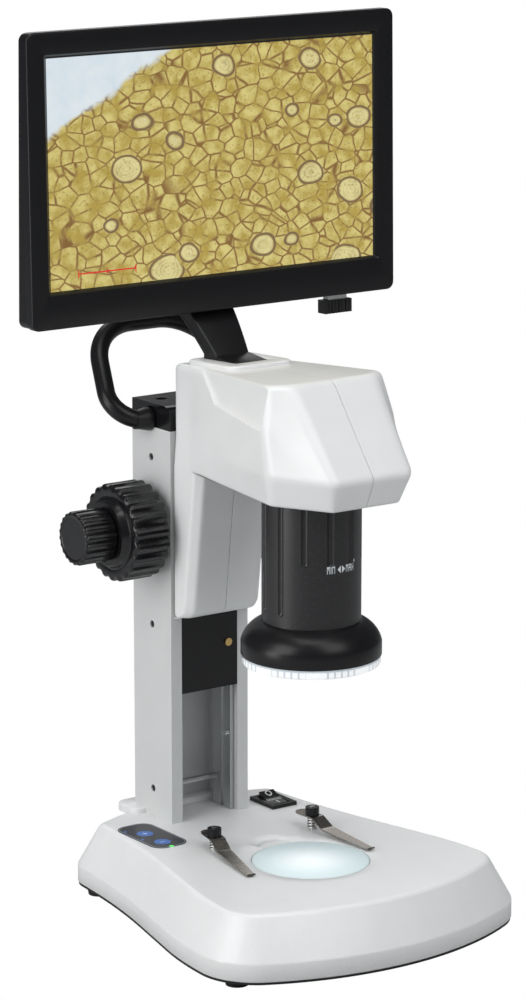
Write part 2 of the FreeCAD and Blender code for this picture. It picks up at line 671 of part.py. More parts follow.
def column_screws():
    parts = []
    for height in rod_heights():
        for side in (-1, 1):
            x = f"{side} * (inner_half + 0.1)"
            parts.append(rod("wall_screw", "rod_radius", "col_wall - 0.8", (x, "shaft_y", height),
                             "x" if side > 0 else "-x"))
    for x in ("14", "-14"):
        head = rod("cap_screw_head", "2.6", "1.6", (x, "col_rear - 12", "cap_top - 2.4"))
        shank = rod("cap_screw_shank", "screw_radius", "8", (x, "col_rear - 12", "cap_top - 10"))
        parts.append(join("cap_screw", [head, shank]))
    node("column_screws", group("column_screw_set", parts))


def column_cap():
    blank = centred_block("cap_blank", ("col_width", "col_depth", "cap_height"),
                          ("0", "col_front + col_depth / 2", "col_top"))
    doc.recompute()
    soft = doc.addObject("Part::Fillet", "cap_soft")
    soft.Base = blank
    front_top = []
    for number, edge in enumerate(blank.Shape.Edges, 1):
        middle = edge.CenterOfMass
        if abs(middle.y - DIM["col_front"]) < 0.01 and abs(middle.z - DIM["cap_top"]) < 0.01:
            front_top.append((number, 5.5, 5.5))
    soft.Edges = front_top
    hollow = block("cap_hollow", ("col_width - 6", "col_depth - 6", "6"),
                   ("-col_width / 2 + 3", "col_front + 3", "col_top - 1"))
    holes = []
    for x in ("14", "-14"):
        holes.append(rod("cap_sink", "2.9", "4", (x, "col_rear - 12", "cap_top - 2.4")))
        holes.append(rod("cap_drill", "screw_radius", "14", (x, "col_rear - 12", "cap_top - 13")))
    pivots = [rod("cap_pivot", "2.4", "12", (x, "handle_y", "handle_z"), axis)
              for x, axis in (("col_width / 2 - 10", "x"), ("-(col_width / 2 - 10)", "-x"))]
    bosses = [rod("cap_boss", "3.7", "9.5", (x, "handle_y", "handle_z"), axis)
              for x, axis in (("col_width / 2 - 9.9", "x"), ("-(col_width / 2 - 9.9)", "-x"))]
    posts = [rod("cap_post", "4", "6", (x, "col_rear - 12", "col_top"))
             for x in ("14", "-14")]
    shell = cut("cap_shell", soft, [hollow])
    body = join("cap_body", [shell] + bosses + posts)
    node("column_cap", cut("cap_drilled", body, holes + pivots))


def handle():
    """The bail in its own plane, leaning back about the pivots in the cap's sides."""
    tube = DIM["handle_tube"]
    start = DIM["col_width"] / 2 + 0.4
    half, top, reach = DIM["handle_half"], DIM["handle_top"], DIM["handle_reach"]
    route = [VEC(-start, 0, 0), VEC(-half, 0, 0), VEC(-top, 0, reach), VEC(top, 0, reach),
             VEC(half, 0, 0), VEC(start, 0, 0)]
    bail = sweep_round(tube_path(route, [15, 30, 30, 15]), tube)
    hubs = []
    for side in (-1, 1):
        hub = Part.makeCone(tube + DIM["hub_swell"], tube - 0.05, DIM["hub_taper"], VEC(side * start, 0, 0),
                            VEC(side, 0, 0))
        hubs.append(hub)
    body = bail.multiFuse(hubs).removeSplitter()
    bore = Part.makeCylinder(2.4 + DIM["run_gap"], 2 * start + 7, VEC(-start - 3.5, 0, 0), VEC(1, 0, 0))
    body = body.cut(bore)
    body.rotate(VEC(), VEC(1, 0, 0), -DIM["handle_lean"])
    body.translate(VEC(0, DIM["handle_y"], DIM["handle_z"]))
    node("carry_handle", form("bail", body))
    pins = [rod("handle_pin", "2.4", "13", (x, "handle_y", "handle_z"), axis)
            for x, axis in (("col_width / 2 - 9.8", "x"), ("-(col_width / 2 - 9.8)", "-x"))]
    node("handle_screws", group("handle_pins", pins))


# Focusing drive

def toothed(count, root, tip, thick_root, thick_tip, length):
    """A pinion between X = 0 and X = length: straight-sided teeth on a round root."""
    corners = []
    for index in range(int(count)):
        angle = 2 * math.pi * index / count
        for radius, half in ((root, -thick_root / 2), (tip, -thick_tip / 2), (tip, thick_tip / 2),
                             (root, thick_root / 2)):
            turn = angle + math.atan2(half, radius)
            corners.append(VEC(0, radius * math.cos(turn), radius * math.sin(turn)))
    wire = Part.makePolygon(corners + corners[:1])
    return Part.Face(wire).extrude(VEC(length, 0, 0))


def drive():
    pitch_radius = DIM["pitch_radius"]
    module = DIM["gear_module"]
    count = DIM["pinion_teeth"]
    root = pitch_radius - 1.15 * module
    tip = pitch_radius + 0.8 * module
    teeth = toothed(count, root, tip, 1.75 * module, 0.55 * module, 16)
    teeth.rotate(VEC(), VEC(1, 0, 0), 180)
    teeth.translate(VEC(-8, DIM["shaft_y"], DIM["shaft_z"]))
    start = -(DIM["col_width"] / 2 + DIM["knob_gap"] + DIM["knob_length"] - 1)
    body = Part.makeCylinder(DIM["shaft_radius"], -2 * start, VEC(start, DIM["shaft_y"], DIM["shaft_z"]),
                             VEC(1, 0, 0))
    bore = Part.makeCylinder(DIM["fine_radius"] + DIM["run_gap"], -2 * start + 2,
                             VEC(start - 1, DIM["shaft_y"], DIM["shaft_z"]), VEC(1, 0, 0))
    node("pinion_shaft", form("pinion_and_shaft", body.fuse(teeth).cut(bore).removeSplitter()))
    reach = "col_width / 2 + knob_gap + knob_length + hub_length + 0.5 + fine_knob_length - 1"
    node("fine_shaft", rod("fine_rod", "fine_radius", f"2 * ({reach})",
                           (f"-({reach})", "shaft_y", "shaft_z"), "x"))
    bushes = []
    for side, axis in ((1, "x"), (-1, "-x")):
        body = rod("bush_body", "shaft_radius + 2.5", "col_wall", (f"{side} * inner_half", "shaft_y", "shaft_z"),
                   axis)
        flange = rod("bush_flange", "shaft_radius + 5.5", "2",
                     (f"{side} * col_width / 2", "shaft_y", "shaft_z"), axis)
        bore = rod("bush_bore", "shaft_radius + run_gap", "col_wall + 6",
                   (f"{side} * (inner_half - 1)", "shaft_y", "shaft_z"), axis)
        bushes.append(cut("bush", join("bush_solid", [body, flange]), [bore]))
    node("shaft_bushes", group("bush_pair", bushes))


def knob_body(label, side):
    """A PartDesign body whose own Z runs outwards along the knob axis."""
    body = doc.addObject("PartDesign::Body", label)
    turn = TURN["x"] if side > 0 else TURN["-x"]
    body.Placement = FreeCAD.Placement(VEC(), turn)
    return body


def add_round(body, kind, radius, height, at=("0", "0", "0")):
    """Add or take away a cylinder in a body's own frame."""
    feature = body.newObject("PartDesign::" + kind, kind)
    bind(feature, Radius=radius, Height=height)
    for axis, text in zip("xyz", at):
        feature.setExpression("Placement.Base." + axis, link(text))
    return feature


def turn_copies(body, feature, count):
    """Repeat a feature about the body's own Z axis."""
    pattern = body.newObject("PartDesign::PolarPattern", "Copies")
    pattern.Originals = [feature]
    z_axis = [item for item in body.Origin.OriginFeatures if item.Role == "Z_Axis"][0]
    pattern.Axis = (z_axis, [""])
    pattern.Angle = 360
    pattern.setExpression("Occurrences", link(count))
    body.Tip = pattern
    return pattern


def soften(body, z, radius, size):
    """Round the circular edge of a given radius at a height of the body's own frame."""
    doc.recompute()
    base = body.Tip
    names = []
    for number, edge in enumerate(base.Shape.Edges, 1):
        curve = edge.Curve
        if isinstance(curve, Part.Circle) and abs(curve.Radius - radius) < 0.01 and abs(curve.Center.z - z) < 0.01:
            names.append(f"Edge{number}")
    fillet = body.newObject("PartDesign::Fillet", "Soft")
    fillet.Base = (base, names)
    fillet.Radius = size
    body.Tip = fillet
    return fillet


def coarse_knob(side):
    body = knob_body("coarse_body", side)
    add_round(body, "AdditiveCylinder", "knob_radius", "knob_length")
    soften(body, DIM["knob_length"], DIM["knob_radius"], 2.0)
    soften(body, 0.0, DIM["knob_radius"], 1.2)
    add_round(body, "AdditiveCylinder", "hub_radius", "knob_length + hub_length")
    add_round(body, "SubtractiveCylinder", "knob_radius - 4", "5", ("0", "0", "-0.01"))
    add_round(body, "AdditiveCylinder", "8", "6")
    add_round(body, "SubtractiveCylinder", "fine_radius + run_gap + 0.3", "knob_length + hub_length + 2",
              ("0", "0", "-1"))
    add_round(body, "SubtractiveCylinder", "shaft_radius", "knob_length", ("0", "0", "-1"))
    scallop = add_round(body, "SubtractiveCylinder", "scallop_radius", "knob_length + 4",
                        ("knob_radius + scallop_radius - scallop_depth", "0", "-1"))
    turn_copies(body, scallop, "knob_scallops")
    place(body, (f"{side} * (col_width / 2 + knob_gap)", "shaft_y", "shaft_z"))
    return body


def fine_knob(side):
    body = knob_body("fine_body", side)
    add_round(body, "AdditiveCylinder", "fine_knob_radius", "fine_knob_length")
    soften(body, DIM["fine_knob_length"], DIM["fine_knob_radius"], 1.0)
    add_round(body, "SubtractiveCylinder", "fine_radius", "fine_knob_length", ("0", "0", "-1"))
    flute = add_round(body, "SubtractiveCylinder", "flute_radius", "fine_knob_length + 2",
                      ("fine_knob_radius + flute_radius - flute_depth", "0", "-1"))
    turn_copies(body, flute, "fine_flutes")
    place(body, (f"{side} * (col_width / 2 + knob_gap + knob_length + hub_length + 0.5)", "shaft_y", "shaft_z"))
    return body


def knobs():
    node("coarse_knobs", group("coarse_pair", [coarse_knob(-1), coarse_knob(1)]))
    node("fine_knobs", group("fine_pair", [fine_knob(-1), fine_knob(1)]))


def rack_shape():
    """A rack behind the slide block: straight teeth that face the pinion."""
    module = DIM["gear_module"]
    step = math.pi * module
    low = DIM["slide_z"] + 60
    high = DIM["slide_z"] + DIM["slide_length"]
    pitch_y = DIM["shaft_y"] - DIM["pitch_radius"]
    root, tip, back = pitch_y - 1.3 * module, pitch_y + 0.75 * module, pitch_y - 4.0
    mesh = DIM["shaft_z"] + step / 2
    first = math.ceil((low + step - mesh) / step)
    last = math.floor((high - step - mesh) / step)
    corners = [VEC(0, back, low), VEC(0, root, low)]
    for index in range(first, last + 1):
        centre = mesh + index * step
        for y, half in ((root, 0.33 * step), (tip, 0.115 * step)):
            corners.append(VEC(0, y, centre - half))
        for y, half in ((tip, 0.115 * step), (root, 0.33 * step)):
            corners.append(VEC(0, y, centre + half))
    corners += [VEC(0, root, high), VEC(0, back, high)]
    wire = Part.makePolygon(corners + corners[:1])
    rack = Part.Face(wire).extrude(VEC(14, 0, 0))
    rack.translate(VEC(-7, 0, 0))
    return rack


def carriage():
    plate = centred_block("slide_blank", ("col_opening - 0.4", "slide_thick", "slide_length"),
                          ("0", "col_front + slide_thick / 2", "slide_z"))
    gate = centred_block("slide_gate", ("22.4", "10", "56"), ("0", "col_front", "slide_z + 52"))
    hole = rod("slide_screw_hole", "1.2", "8", ("11.5", "col_front - 2", "base_top + 93.3"), "y")
    node("slide_plate", cut("slide_cut", plate, [gate, hole]))
    rack_back = "shaft_y - pitch_radius - 4"
    block_front = "col_front + slide_thick"
    body = block("slide_body", ("2 * (inner_half - rail_width - 0.4)", f"{rack_back} - ({block_front})",
                                "slide_length - 3"),
                 ("-(inner_half - rail_width - 0.4)", block_front, "slide_z + 3"))
    tongue = block("slide_tongue", ("22", f"{block_front} - (head_back - head_wall - 4)", "55"),
                   ("-11", "head_back - head_wall - 4", "slide_z + 52.5"))
    drills = [rod("block_screw_hole", "1.2", "8", ("11.5", "col_front - 2", "base_top + 93.3"), "y")]
    drills += [rod("tongue_screw_hole", "screw_radius", "8", ("0", "head_back - head_wall - 6", z), "y")
               for z in head_screw_heights()]
    node("slide_block", cut("slide_drilled", join("slide_solid", [body, tongue]), drills))
    node("gear_rack", form("rack_bar", rack_shape()))
    head = rod("slide_screw_head", "2.1", "1", ("11.5", "col_front", "base_top + 93.3"), "-y")
    shank = rod("slide_screw_shank", "1.2", "6", ("11.5", "col_front - 0.5", "base_top + 93.3"), "y")
    node("slide_screw", join("slide_screw_all", [head, shank]))


# Head

def head_loft(inset):
    """The head's main body: horizontal sections from the underside to above the top."""
    rear = DIM["head_back"] - inset
    flare = DIM["head_back"] - 15.9
    half = DIM["head_half"] - inset
    front = DIM["head_front"] + inset
    low = DIM["base_top"] + DIM["head_under"] + inset
    belt = DIM["base_top"] + DIM["belt_above"]
    top = DIM["base_top"] + DIM["head_top_front"] + 3
    sections = [
        (low, 36.3, front + 36.5, 20.0, front + 6.5),
        (belt, 40.4, front + 33.5, 24.0, front),
        (belt + 23, 40.0, front + 37.5, 24.7, front + 18),
        (top, 35.0, front + 41.5, 25.4, front + 36.5),
    ]
    wires = []
    for z, side_x, side_y, front_x, front_y in sections:
        right = [(half, rear), (half, flare), (side_x - inset, side_y), (front_x - inset / 2, front_y)]
        ring = right + [(-x, y) for x, y in reversed(right)]
        corners = [VEC(x, y, z) for x, y in ring]
        wires.append(Part.makePolygon(corners + corners[:1]))
    return solid_loft(wires)


def head_top_z(y):
    """Height of the head's sloping top at a given Y."""
    rear_y = DIM["head_back"] - 3
    front_y = DIM["head_front"] + 35
    share = (rear_y - y) / (rear_y - front_y)
    rise = DIM["head_top_front"] - DIM["head_top_rear"]
    return DIM["base_top"] + DIM["head_top_rear"] + share * rise


def above_top(inset):
    """Everything above the head's sloping top."""
    front, rear = DIM["head_front"] - 20, DIM["head_back"] + 20
    corners = [(front, head_top_z(front) - inset, 0), (rear, head_top_z(rear) - inset, 0),
               (rear, head_top_z(rear) + 60, 0), (front, head_top_z(rear) + 60, 0)]
    return upright_prism(corners, -80, 80)


def neck(inset):
    """The neck in front of the column, leaning forwards to the top, round at its lower end."""
    top = DIM["base_top"] + DIM["belt_above"]
    low = DIM["base_top"] + DIM["neck_low"] + inset
    rear = DIM["head_back"] - inset
    half = DIM["head_half"] - inset
    front_low = DIM["head_back"] - 12.5 + inset
    front_high = DIM["head_back"] - 24.5 + inset
    corners = [(rear, low, 3.0 - inset), (front_low, low, 7.0 - inset), (front_high, top, 0), (rear, top, 0)]
    return upright_prism(corners, -half, half)


def side_pocket(side):
    """The shallow triangular recess in the head's upper side."""
    y0, z0 = DIM["col_front"] - 9.5, DIM["base_top"]
    corners = [(y0 - 19, z0 + 260, 0), (y0 - 19, z0 + 248, 0), (y0 - 37, z0 + 232, 6),
               (y0 - 94, z0 + 228.5, 0), (y0 - 99, z0 + 234, 0), (y0 - 91.5, z0 + 251, 0), (y0 - 91.5, z0 + 260, 0)]
    prism = upright_prism(corners, 0, 70)
    depth_rear, depth_front = DIM["head_half"] - 1.0, 35.2
    floor_line = [VEC(depth_rear, y0 - 10, z0 + 200), VEC(depth_front, y0 - 94, z0 + 200),
                  VEC(depth_front + 0.6, y0 - 110, z0 + 200), VEC(80, y0 - 110, z0 + 200), VEC(80, y0 - 10, z0 + 200)]
    outer = Part.Face(Part.makePolygon(floor_line + floor_line[:1])).extrude(VEC(0, 0, 80))
    pocket = prism.common(outer)
    if side < 0:
        pocket = pocket.mirror(VEC(), VEC(1, 0, 0))
    return pocket


def slot_box(grow, low, high):
    """The slot in the head's top, between two heights."""
    y0 = DIM["col_front"] - 9.5
    half = DIM["arm_half_low"] + 0.3 + grow
    return box_shape((-half, y0 - 29.4 - grow, low), (half, y0 + 0.4 + grow, high))


def head_shells():
    outer = head_loft(0.0).cut(above_top(0.0)).fuse(neck(0.0))
    wall = DIM["head_wall"]
    pockets = [side_pocket(-1), side_pocket(1)]
    outer = outer.cut(Part.makeCompound(pockets))
    inner = head_loft(wall).cut(above_top(wall)).fuse(neck(wall))
    shrunk = []
    for side, pocket in zip((-1, 1), pockets):
        deeper = pocket.copy()
        deeper.translate(VEC(-side * wall, 0, -wall))
        shrunk.append(deeper)
    inner = inner.cut(Part.makeCompound(shrunk))
    top = DIM["base_top"] + 300
    optic = DIM["optic_y"]
    hole = Part.makeCylinder(DIM["barrel_radius"] + 0.15, 20, VEC(0, optic, DIM["base_top"] + DIM["head_under"] - 5))
    gate = box_shape((-11.3, DIM["head_back"] - 8, DIM["slide_z"] + 52), (11.3, DIM["head_back"] + 5,
                                                                        DIM["slide_z"] + 108))
    slot = slot_box(0.0, DIM["base_top"] + 235, top)
    shell = outer.cut(inner).cut(Part.makeCompound([hole, gate, slot]))
    seam = 0.1
    for side, name in ((-1, "left"), (1, "right")):
        low_x, high_x = (-80, -seam) if side < 0 else (seam, 80)
        room = box_shape((low_x, -150, 100), (high_x, 100, 400))
        half = shell.common(room)
        node("head_shell_" + name, form("shell_" + name, half.removeSplitter()))


def head_fittings():
    y0 = DIM["col_front"] - 9.5
    front, rear = y0 - 39, y0 + 3.0
    height = DIM["collar_height"]
    ring = [(front, head_top_z(front) + 0.05, 0), (rear, head_top_z(rear) + 0.05, 0),
            (rear, head_top_z(rear) + height, 0), (front, head_top_z(front) + height, 0)]
    collar = upright_prism(ring, -19.4, 19.4)
    collar = collar.cut(slot_box(0.0, DIM["base_top"] + 235, DIM["base_top"] + 300))
    node("arm_collar", form("collar", collar))
    frame_low = DIM["slide_z"] + 52.5
    shelf = DIM["barrel_top"]
    back = DIM["head_back"] - DIM["head_wall"] - 4
    upright = box_shape((-11, back - 4, frame_low), (11, back, shelf + 4))
    plate = box_shape((-11, DIM["optic_y"] - 20, shelf), (11, back, shelf + 4))
    post = box_shape((-9, y0 - 26, shelf + 4), (9, y0 - 2, DIM["base_top"] + 238))
    solid = form("frame", upright.fuse([plate, post]).removeSplitter())
    drills = [rod("frame_screw_hole", "screw_radius", "8", ("0", "head_back - head_wall - 10", z), "y")
              for z in head_screw_heights()]
    node("head_frame", cut("frame_drilled", solid, drills))


def head_screw_heights():
    return ["slide_z + 72", "slide_z + 100"]


def head_screws():
    """Screws through the frame into the slide block's tongue."""
    parts = []
    back = "head_back - head_wall - 8"
    for z in head_screw_heights():
        head = rod("frame_screw_head", "3", "2", ("0", back, z), "-y")
        shank = rod("frame_screw_shank", "screw_radius", "10", ("0", back + " - 0.5", z), "y")
        parts.append(join("frame_screw", [head, shank]))
    node("head_screws", group("head_screw_set", parts))


def monitor_arm():
    """A curved strap from the slot up to the monitor's hinge, wider at the top, with a foot."""
    y0, z0 = DIM["col_front"] - 9.5, DIM["base_top"]
    hinge = VEC(0, DIM["hinge_y"], DIM["hinge_z"])
    front = [VEC(0, y0 - 12.8, z0 + 249.8), VEC(0, y0 - 3.6, z0 + 260.5), VEC(0, y0 + 8.0, z0 + 272.0)]
    rear = [VEC(0, y0 + 21.2, z0 + 272.0), VEC(0, y0 + 8.8, z0 + 260.0), VEC(0, y0 - 0.2, z0 + 249.8)]
    top_front, top_rear = VEC(0, y0 + 13.0, z0 + 284.0), VEC(0, y0 + 22.0, z0 + 284.0)
    low_front, low_rear = VEC(0, y0 - 12.8, z0 + 246), VEC(0, y0 - 0.2, z0 + 246)
    edges = [Part.Arc(*front), Part.LineSegment(front[2], top_front), Part.LineSegment(top_front, top_rear),
             Part.LineSegment(top_rear, rear[0]), Part.Arc(*rear), Part.LineSegment(rear[2], low_rear),
             Part.LineSegment(low_rear, low_front), Part.LineSegment(low_front, front[0])]
    outline = Part.Face(Part.Wire([edge.toShape() for edge in edges]))
    strap = outline.extrude(VEC(40, 0, 0))
    strap.translate(VEC(-20, 0, 0))
    low, high = DIM["arm_half_low"], DIM["arm_half_top"]
    z_low, z_high, z_top = z0 + 240, z0 + 270, z0 + 300
    plan = [VEC(-low, y0 - 40, z_low), VEC(low, y0 - 40, z_low), VEC(low, y0 - 40, z0 + 250),
            VEC(high, y0 - 40, z_high), VEC(high, y0 - 40, z_top), VEC(-high, y0 - 40, z_top),
            VEC(-high, y0 - 40, z_high), VEC(-low, y0 - 40, z0 + 250)]
    width = Part.Face(Part.makePolygon(plan + plan[:1])).extrude(VEC(0, 90, 0))
    barrel = Part.makeCylinder(DIM["hinge_radius"], 2 * high, hinge - VEC(high, 0, 0), VEC(1, 0, 0))
    foot = upright_prism([(y0 - 29.0, z0 + 238, 0), (y0 - 0.2, z0 + 238, 0), (y0 - 0.2, z0 + 249.8, 0),
                          (y0 - 12.8, z0 + 250.8, 0), (y0 - 29.0, z0 + 249.2, 0)], -low, low)
    bore = Part.makeCylinder(DIM["pin_radius"], 60, hinge - VEC(30, 0, 0), VEC(1, 0, 0))
    arm = strap.common(width).fuse([barrel, foot]).cut(bore).removeSplitter()
    node("monitor_arm", form("arm", arm))


# Camera

def barrel_window(low, high):
    """The tool that cuts the window: an arc of the wall with rounded corners."""
    radius, inside = DIM["barrel_radius"], DIM["barrel_bore"] - 1
    corner, span = DIM["window_corner"], DIM["window_angle"]
    swing = math.degrees(corner / radius)
    centre = VEC(0, DIM["optic_y"], 0)
    tools = []
    for share, z_low, z_high in ((span, low + corner, high - corner), (span - 2 * swing, low, high)):
        ring = Part.makeCylinder(radius + 2, z_high - z_low, centre + VEC(0, 0, z_low), VEC(0, 0, 1), share)
        ring = ring.cut(Part.makeCylinder(inside, high - low + 10, centre + VEC(0, 0, low - 5)))
        ring.rotate(centre, VEC(0, 0, 1), -90 - share / 2)
        tools.append(ring)
    for side in (-1, 1):
        angle = math.radians(side * (span / 2 - swing))
        away = VEC(math.sin(angle), -math.cos(angle), 0)
        for z in (low + corner, high - corner):
            tools.append(Part.makeCylinder(corner, radius + 1.5 - inside, centre + VEC(0, 0, z) + away * inside, away))
    return tools[0].multiFuse(tools[1:]).removeSplitter()


def camera():
    """Barrel with round-ended grooves and a window for the zoom ring."""
    optic = DIM["optic_y"]
    low = DIM["bell_z"] + 6
    high = DIM["barrel_top"]
    radius, bore = DIM["barrel_radius"], DIM["barrel_bore"]
    tube = Part.makeCylinder(radius, high - low, VEC(0, optic, low))
    tube = tube.cut(Part.makeCylinder(bore, high - low - 4, VEC(0, optic, low - 1)))
    cuts = []
    for index in range(12):
        angle = math.radians(-14 + 30 * index)
        over_window = abs((-14 + 30 * index + 180) % 360 - 180) < 62
        foot = DIM["base_top"] + (160.5 if over_window else 134.0)
        start = VEC((radius + 0.9) * math.sin(angle), optic - (radius + 0.9) * math.cos(angle), foot)
        cuts.append(Part.makeCylinder(2.0, high - foot, start))
        cuts.append(Part.makeSphere(2.0, start))
    window_low = DIM["zoom_z"] + 1.5
    window_high = DIM["zoom_z"] + DIM["zoom_height"] - 0.5
    cuts.append(barrel_window(window_low, window_high))
    node("camera_barrel", form("barrel", tube.cut(Part.makeCompound(cuts)).removeSplitter()))


def turned(label, profile):
    """A round piece about the optical axis from (radius, z) corners."""
    corners = [VEC(radius, 0, z) for radius, z in profile]
    face = Part.Face(Part.makePolygon(corners + corners[:1]))
    solid = face.revolve(VEC(), VEC(0, 0, 1), 360)
    solid.translate(VEC(0, DIM["optic_y"], 0))
    return form(label, solid)


def bell():
    """The bell: a shoulder that swells from the barrel to an upright rim, hollow below."""
    low = DIM["bell_z"]
    outer, inner = DIM["bell_radius"], DIM["barrel_bore"]
    radius = DIM["barrel_radius"]
    corners = [VEC(outer - 0.4, 0, low), VEC(outer, 0, low + 0.6), VEC(outer, 0, low + 7.0)]
    shoulder = Part.Arc(VEC(outer, 0, low + 7.0), VEC(outer - 3.4, 0, low + 13.6), VEC(radius + 0.3, 0, low + 18.0))
    inside = [VEC(radius + 0.3, 0, low + 18.0), VEC(inner, 0, low + 18.0), VEC(inner, 0, low + 10.0),
              VEC(outer - 2.0, 0, low + 5.0), VEC(outer - 2.0, 0, low), VEC(outer - 0.4, 0, low)]
    edges = [Part.LineSegment(*pair).toShape() for pair in zip(corners, corners[1:])]
    edges.append(shoulder.toShape())
    edges += [Part.LineSegment(*pair).toShape() for pair in zip(inside, inside[1:])]
    solid = Part.Face(Part.Wire(edges)).revolve(VEC(), VEC(0, 0, 1), 360)
    solid.translate(VEC(0, DIM["optic_y"], 0))
    tube = Part.makeCylinder(radius + 0.01, 30, VEC(0, DIM["optic_y"], low + 6))
    node("bell_skirt", form("bell", solid.cut(tube)))


def light_ring():
    low, high = DIM["ring_z"], DIM["bell_z"]
    outer = DIM["bell_radius"] - 0.6
    inner = DIM["barrel_bore"] - 4
    node("light_ring", turned("clear_ring", [
        (outer - 1.0, low), (outer, low + 1.0), (outer, high - 0.05), (outer - 2.0, high - 0.05),
        (outer - 2.0, low + 1.6), (inner + 1.6, low + 1.6), (inner + 1.6, high + 4), (inner, high + 4),
        (inner, low)]))
    board_z = high + 1.5
    board = turned("ring_board", [(inner + 2, board_z), (outer - 2.4, board_z), (outer - 2.4, board_z + 1.2),
                                  (inner + 2, board_z + 1.2)])
    node("led_ring_board", board)
    middle = (inner + outer) / 2
    lamps = []
    for index in range(8):
        angle = 2 * math.pi * (index + 0.5) / 8
        lamps.append(rod("ring_lamp", "2.2", "3.2", (f"{middle * math.cos(angle):.4f}",
                                                     f"optic_y + {middle * math.sin(angle):.4f}",
                                                     "bell_z - 1.7")))
    node("ring_leds", group("ring_lamp_set", lamps))


def optics():
    gap = DIM["zoom_gap"]
    bore = DIM["barrel_bore"]
    low, high = DIM["zoom_z"], DIM["zoom_z"] + DIM["zoom_height"]
    outer, inner = bore - gap, bore - 3.0
    ribs = []
    count = 60
    for index in range(count):
        angle = 2 * math.pi * index / count
        start = VEC((outer + 0.15) * math.cos(angle), DIM["optic_y"] + (outer + 0.15) * math.sin(angle), low + 1)
        ribs.append(Part.makeCylinder(0.45, 14.5, start))
    ring = Part.makeCylinder(outer, high - low, VEC(0, DIM["optic_y"], low))
    ring = ring.cut(Part.makeCylinder(inner, 60, VEC(0, DIM["optic_y"], low - 5)))
    node("zoom_ring", form("zoom_sleeve", ring.cut(Part.makeCompound(ribs))))
    cell = inner - gap
    flange_low, flange_high = high + 0.3, high + 4
    node("lens_cell", turned("cell_tube", [
        (cell - 2, DIM["bell_z"] + 12), (cell, DIM["bell_z"] + 12), (cell, flange_low), (bore, flange_low),
        (bore, flange_high), (cell, flange_high), (cell, high + 18), (cell - 2, high + 18)]))
    lens_z = DIM["bell_z"] + 16
    lens = Part.makeCylinder(cell - 2, 8, VEC(0, DIM["optic_y"], lens_z))
    ball = Part.makeSphere(34, VEC(0, DIM["optic_y"], lens_z - 26.5))
    node("objective_lens", form("lens", lens.common(ball)))
    board = centred_block("sensor_plate", ("26", "26", "1.6"), ("0", "optic_y", "barrel_top - 8"))
    chip = centred_block("sensor_chip", ("10", "8", "2"), ("0", "optic_y", "barrel_top - 10"))
    post = centred_block("sensor_post", ("8", "8", "1.4"), ("0", "optic_y", "barrel_top - 6.4"))
    node("sensor_board", join("sensor_all", [board, chip, post]))


# Monitor

def lean_back():
    """The monitor's rest lean about the hinge."""
    centre = VEC(0, DIM["hinge_y"], DIM["hinge_z"])
    turn = FreeCAD.Rotation(VEC(1, 0, 0), -DIM["mon_lean"])
    return FreeCAD.Placement(centre, turn) * FreeCAD.Placement(-centre, FreeCAD.Rotation())


def screen_centre():
    return DIM["mon_low"] + DIM["mon_height"] / 2 + DIM["view_raise"]


def flat_ring(half_x, z_low, z_high, radius, y):
    """A rounded rectangle in a plane of constant Y."""
    wire = rounded([(-half_x, z_low, radius), (half_x, z_low, radius), (half_x, z_high, radius),
                    (-half_x, z_high, radius)])
    wire.transformShape(FreeCAD.Matrix(1, 0, 0, 0, 0, 0, 1, y, 0, 1, 0, 0, 0, 0, 0, 1))
    return wire


def front_bezel():
    half = DIM["mon_width"] / 2
    low, high = DIM["mon_low"], DIM["mon_low"] + DIM["mon_height"]
    front, back = DIM["mon_front"], DIM["mon_back"]
    body = Part.Face(flat_ring(half - 0.8, low + 0.8, high - 0.8, 3.4, front)).extrude(VEC(0, 0.8, 0))
    body = solid_loft([flat_ring(half - 0.8, low + 0.8, high - 0.8, 3.4, front),
                       flat_ring(half, low, high, 4.2, front + 0.8)])
    body = body.fuse(Part.Face(flat_ring(half, low, high, 4.2, front + 0.8)).extrude(VEC(0, back - front - 0.8, 0)))
    centre = screen_centre()
    view_x, view_z = DIM["view_width"] / 2, DIM["view_height"] / 2
    mouth = solid_loft([flat_ring(view_x + 2.6, centre - view_z - 1.9, centre + view_z + 1.9, 1.0, front - 0.01),
                        flat_ring(view_x + 0.5, centre - view_z - 0.5, centre + view_z + 0.5, 0.4, front + 1.7)])
    well = Part.Face(flat_ring(view_x + 0.5, centre - view_z - 0.5, centre + view_z + 0.5, 0.4,
                               front + 1.69)).extrude(VEC(0, 1.0, 0))
    seat = Part.Face(flat_ring(view_x + 5.2, centre - view_z - 5.2, centre + view_z + 5.2, 0.6,
                               front + 2.2)).extrude(VEC(0, 10, 0))
    light_x, light_z = half - DIM["led_inset"], low + DIM["led_raise"]
    lamp = Part.makeCylinder(DIM["led_radius"], 20, VEC(light_x, front - 1, light_z), VEC(0, 1, 0))
    body = body.cut(Part.makeCompound([mouth, well])).cut(seat).cut(lamp)
    node("front_bezel", form("bezel", body.removeSplitter()), lean_back())
    led = Part.makeCylinder(DIM["led_radius"], DIM["bezel_depth"], VEC(light_x, front + 0.1, light_z), VEC(0, 1, 0))
    node("power_led", form("led", led), lean_back())
    panel = Part.Face(flat_ring(view_x + 4.9, centre - view_z - 4.9, centre + view_z + 4.9, 0.6,
                                front + 2.2)).extrude(VEC(0, DIM["bezel_depth"] - 2.2, 0))
    node("lcd_panel", form("lcd", panel), lean_back())


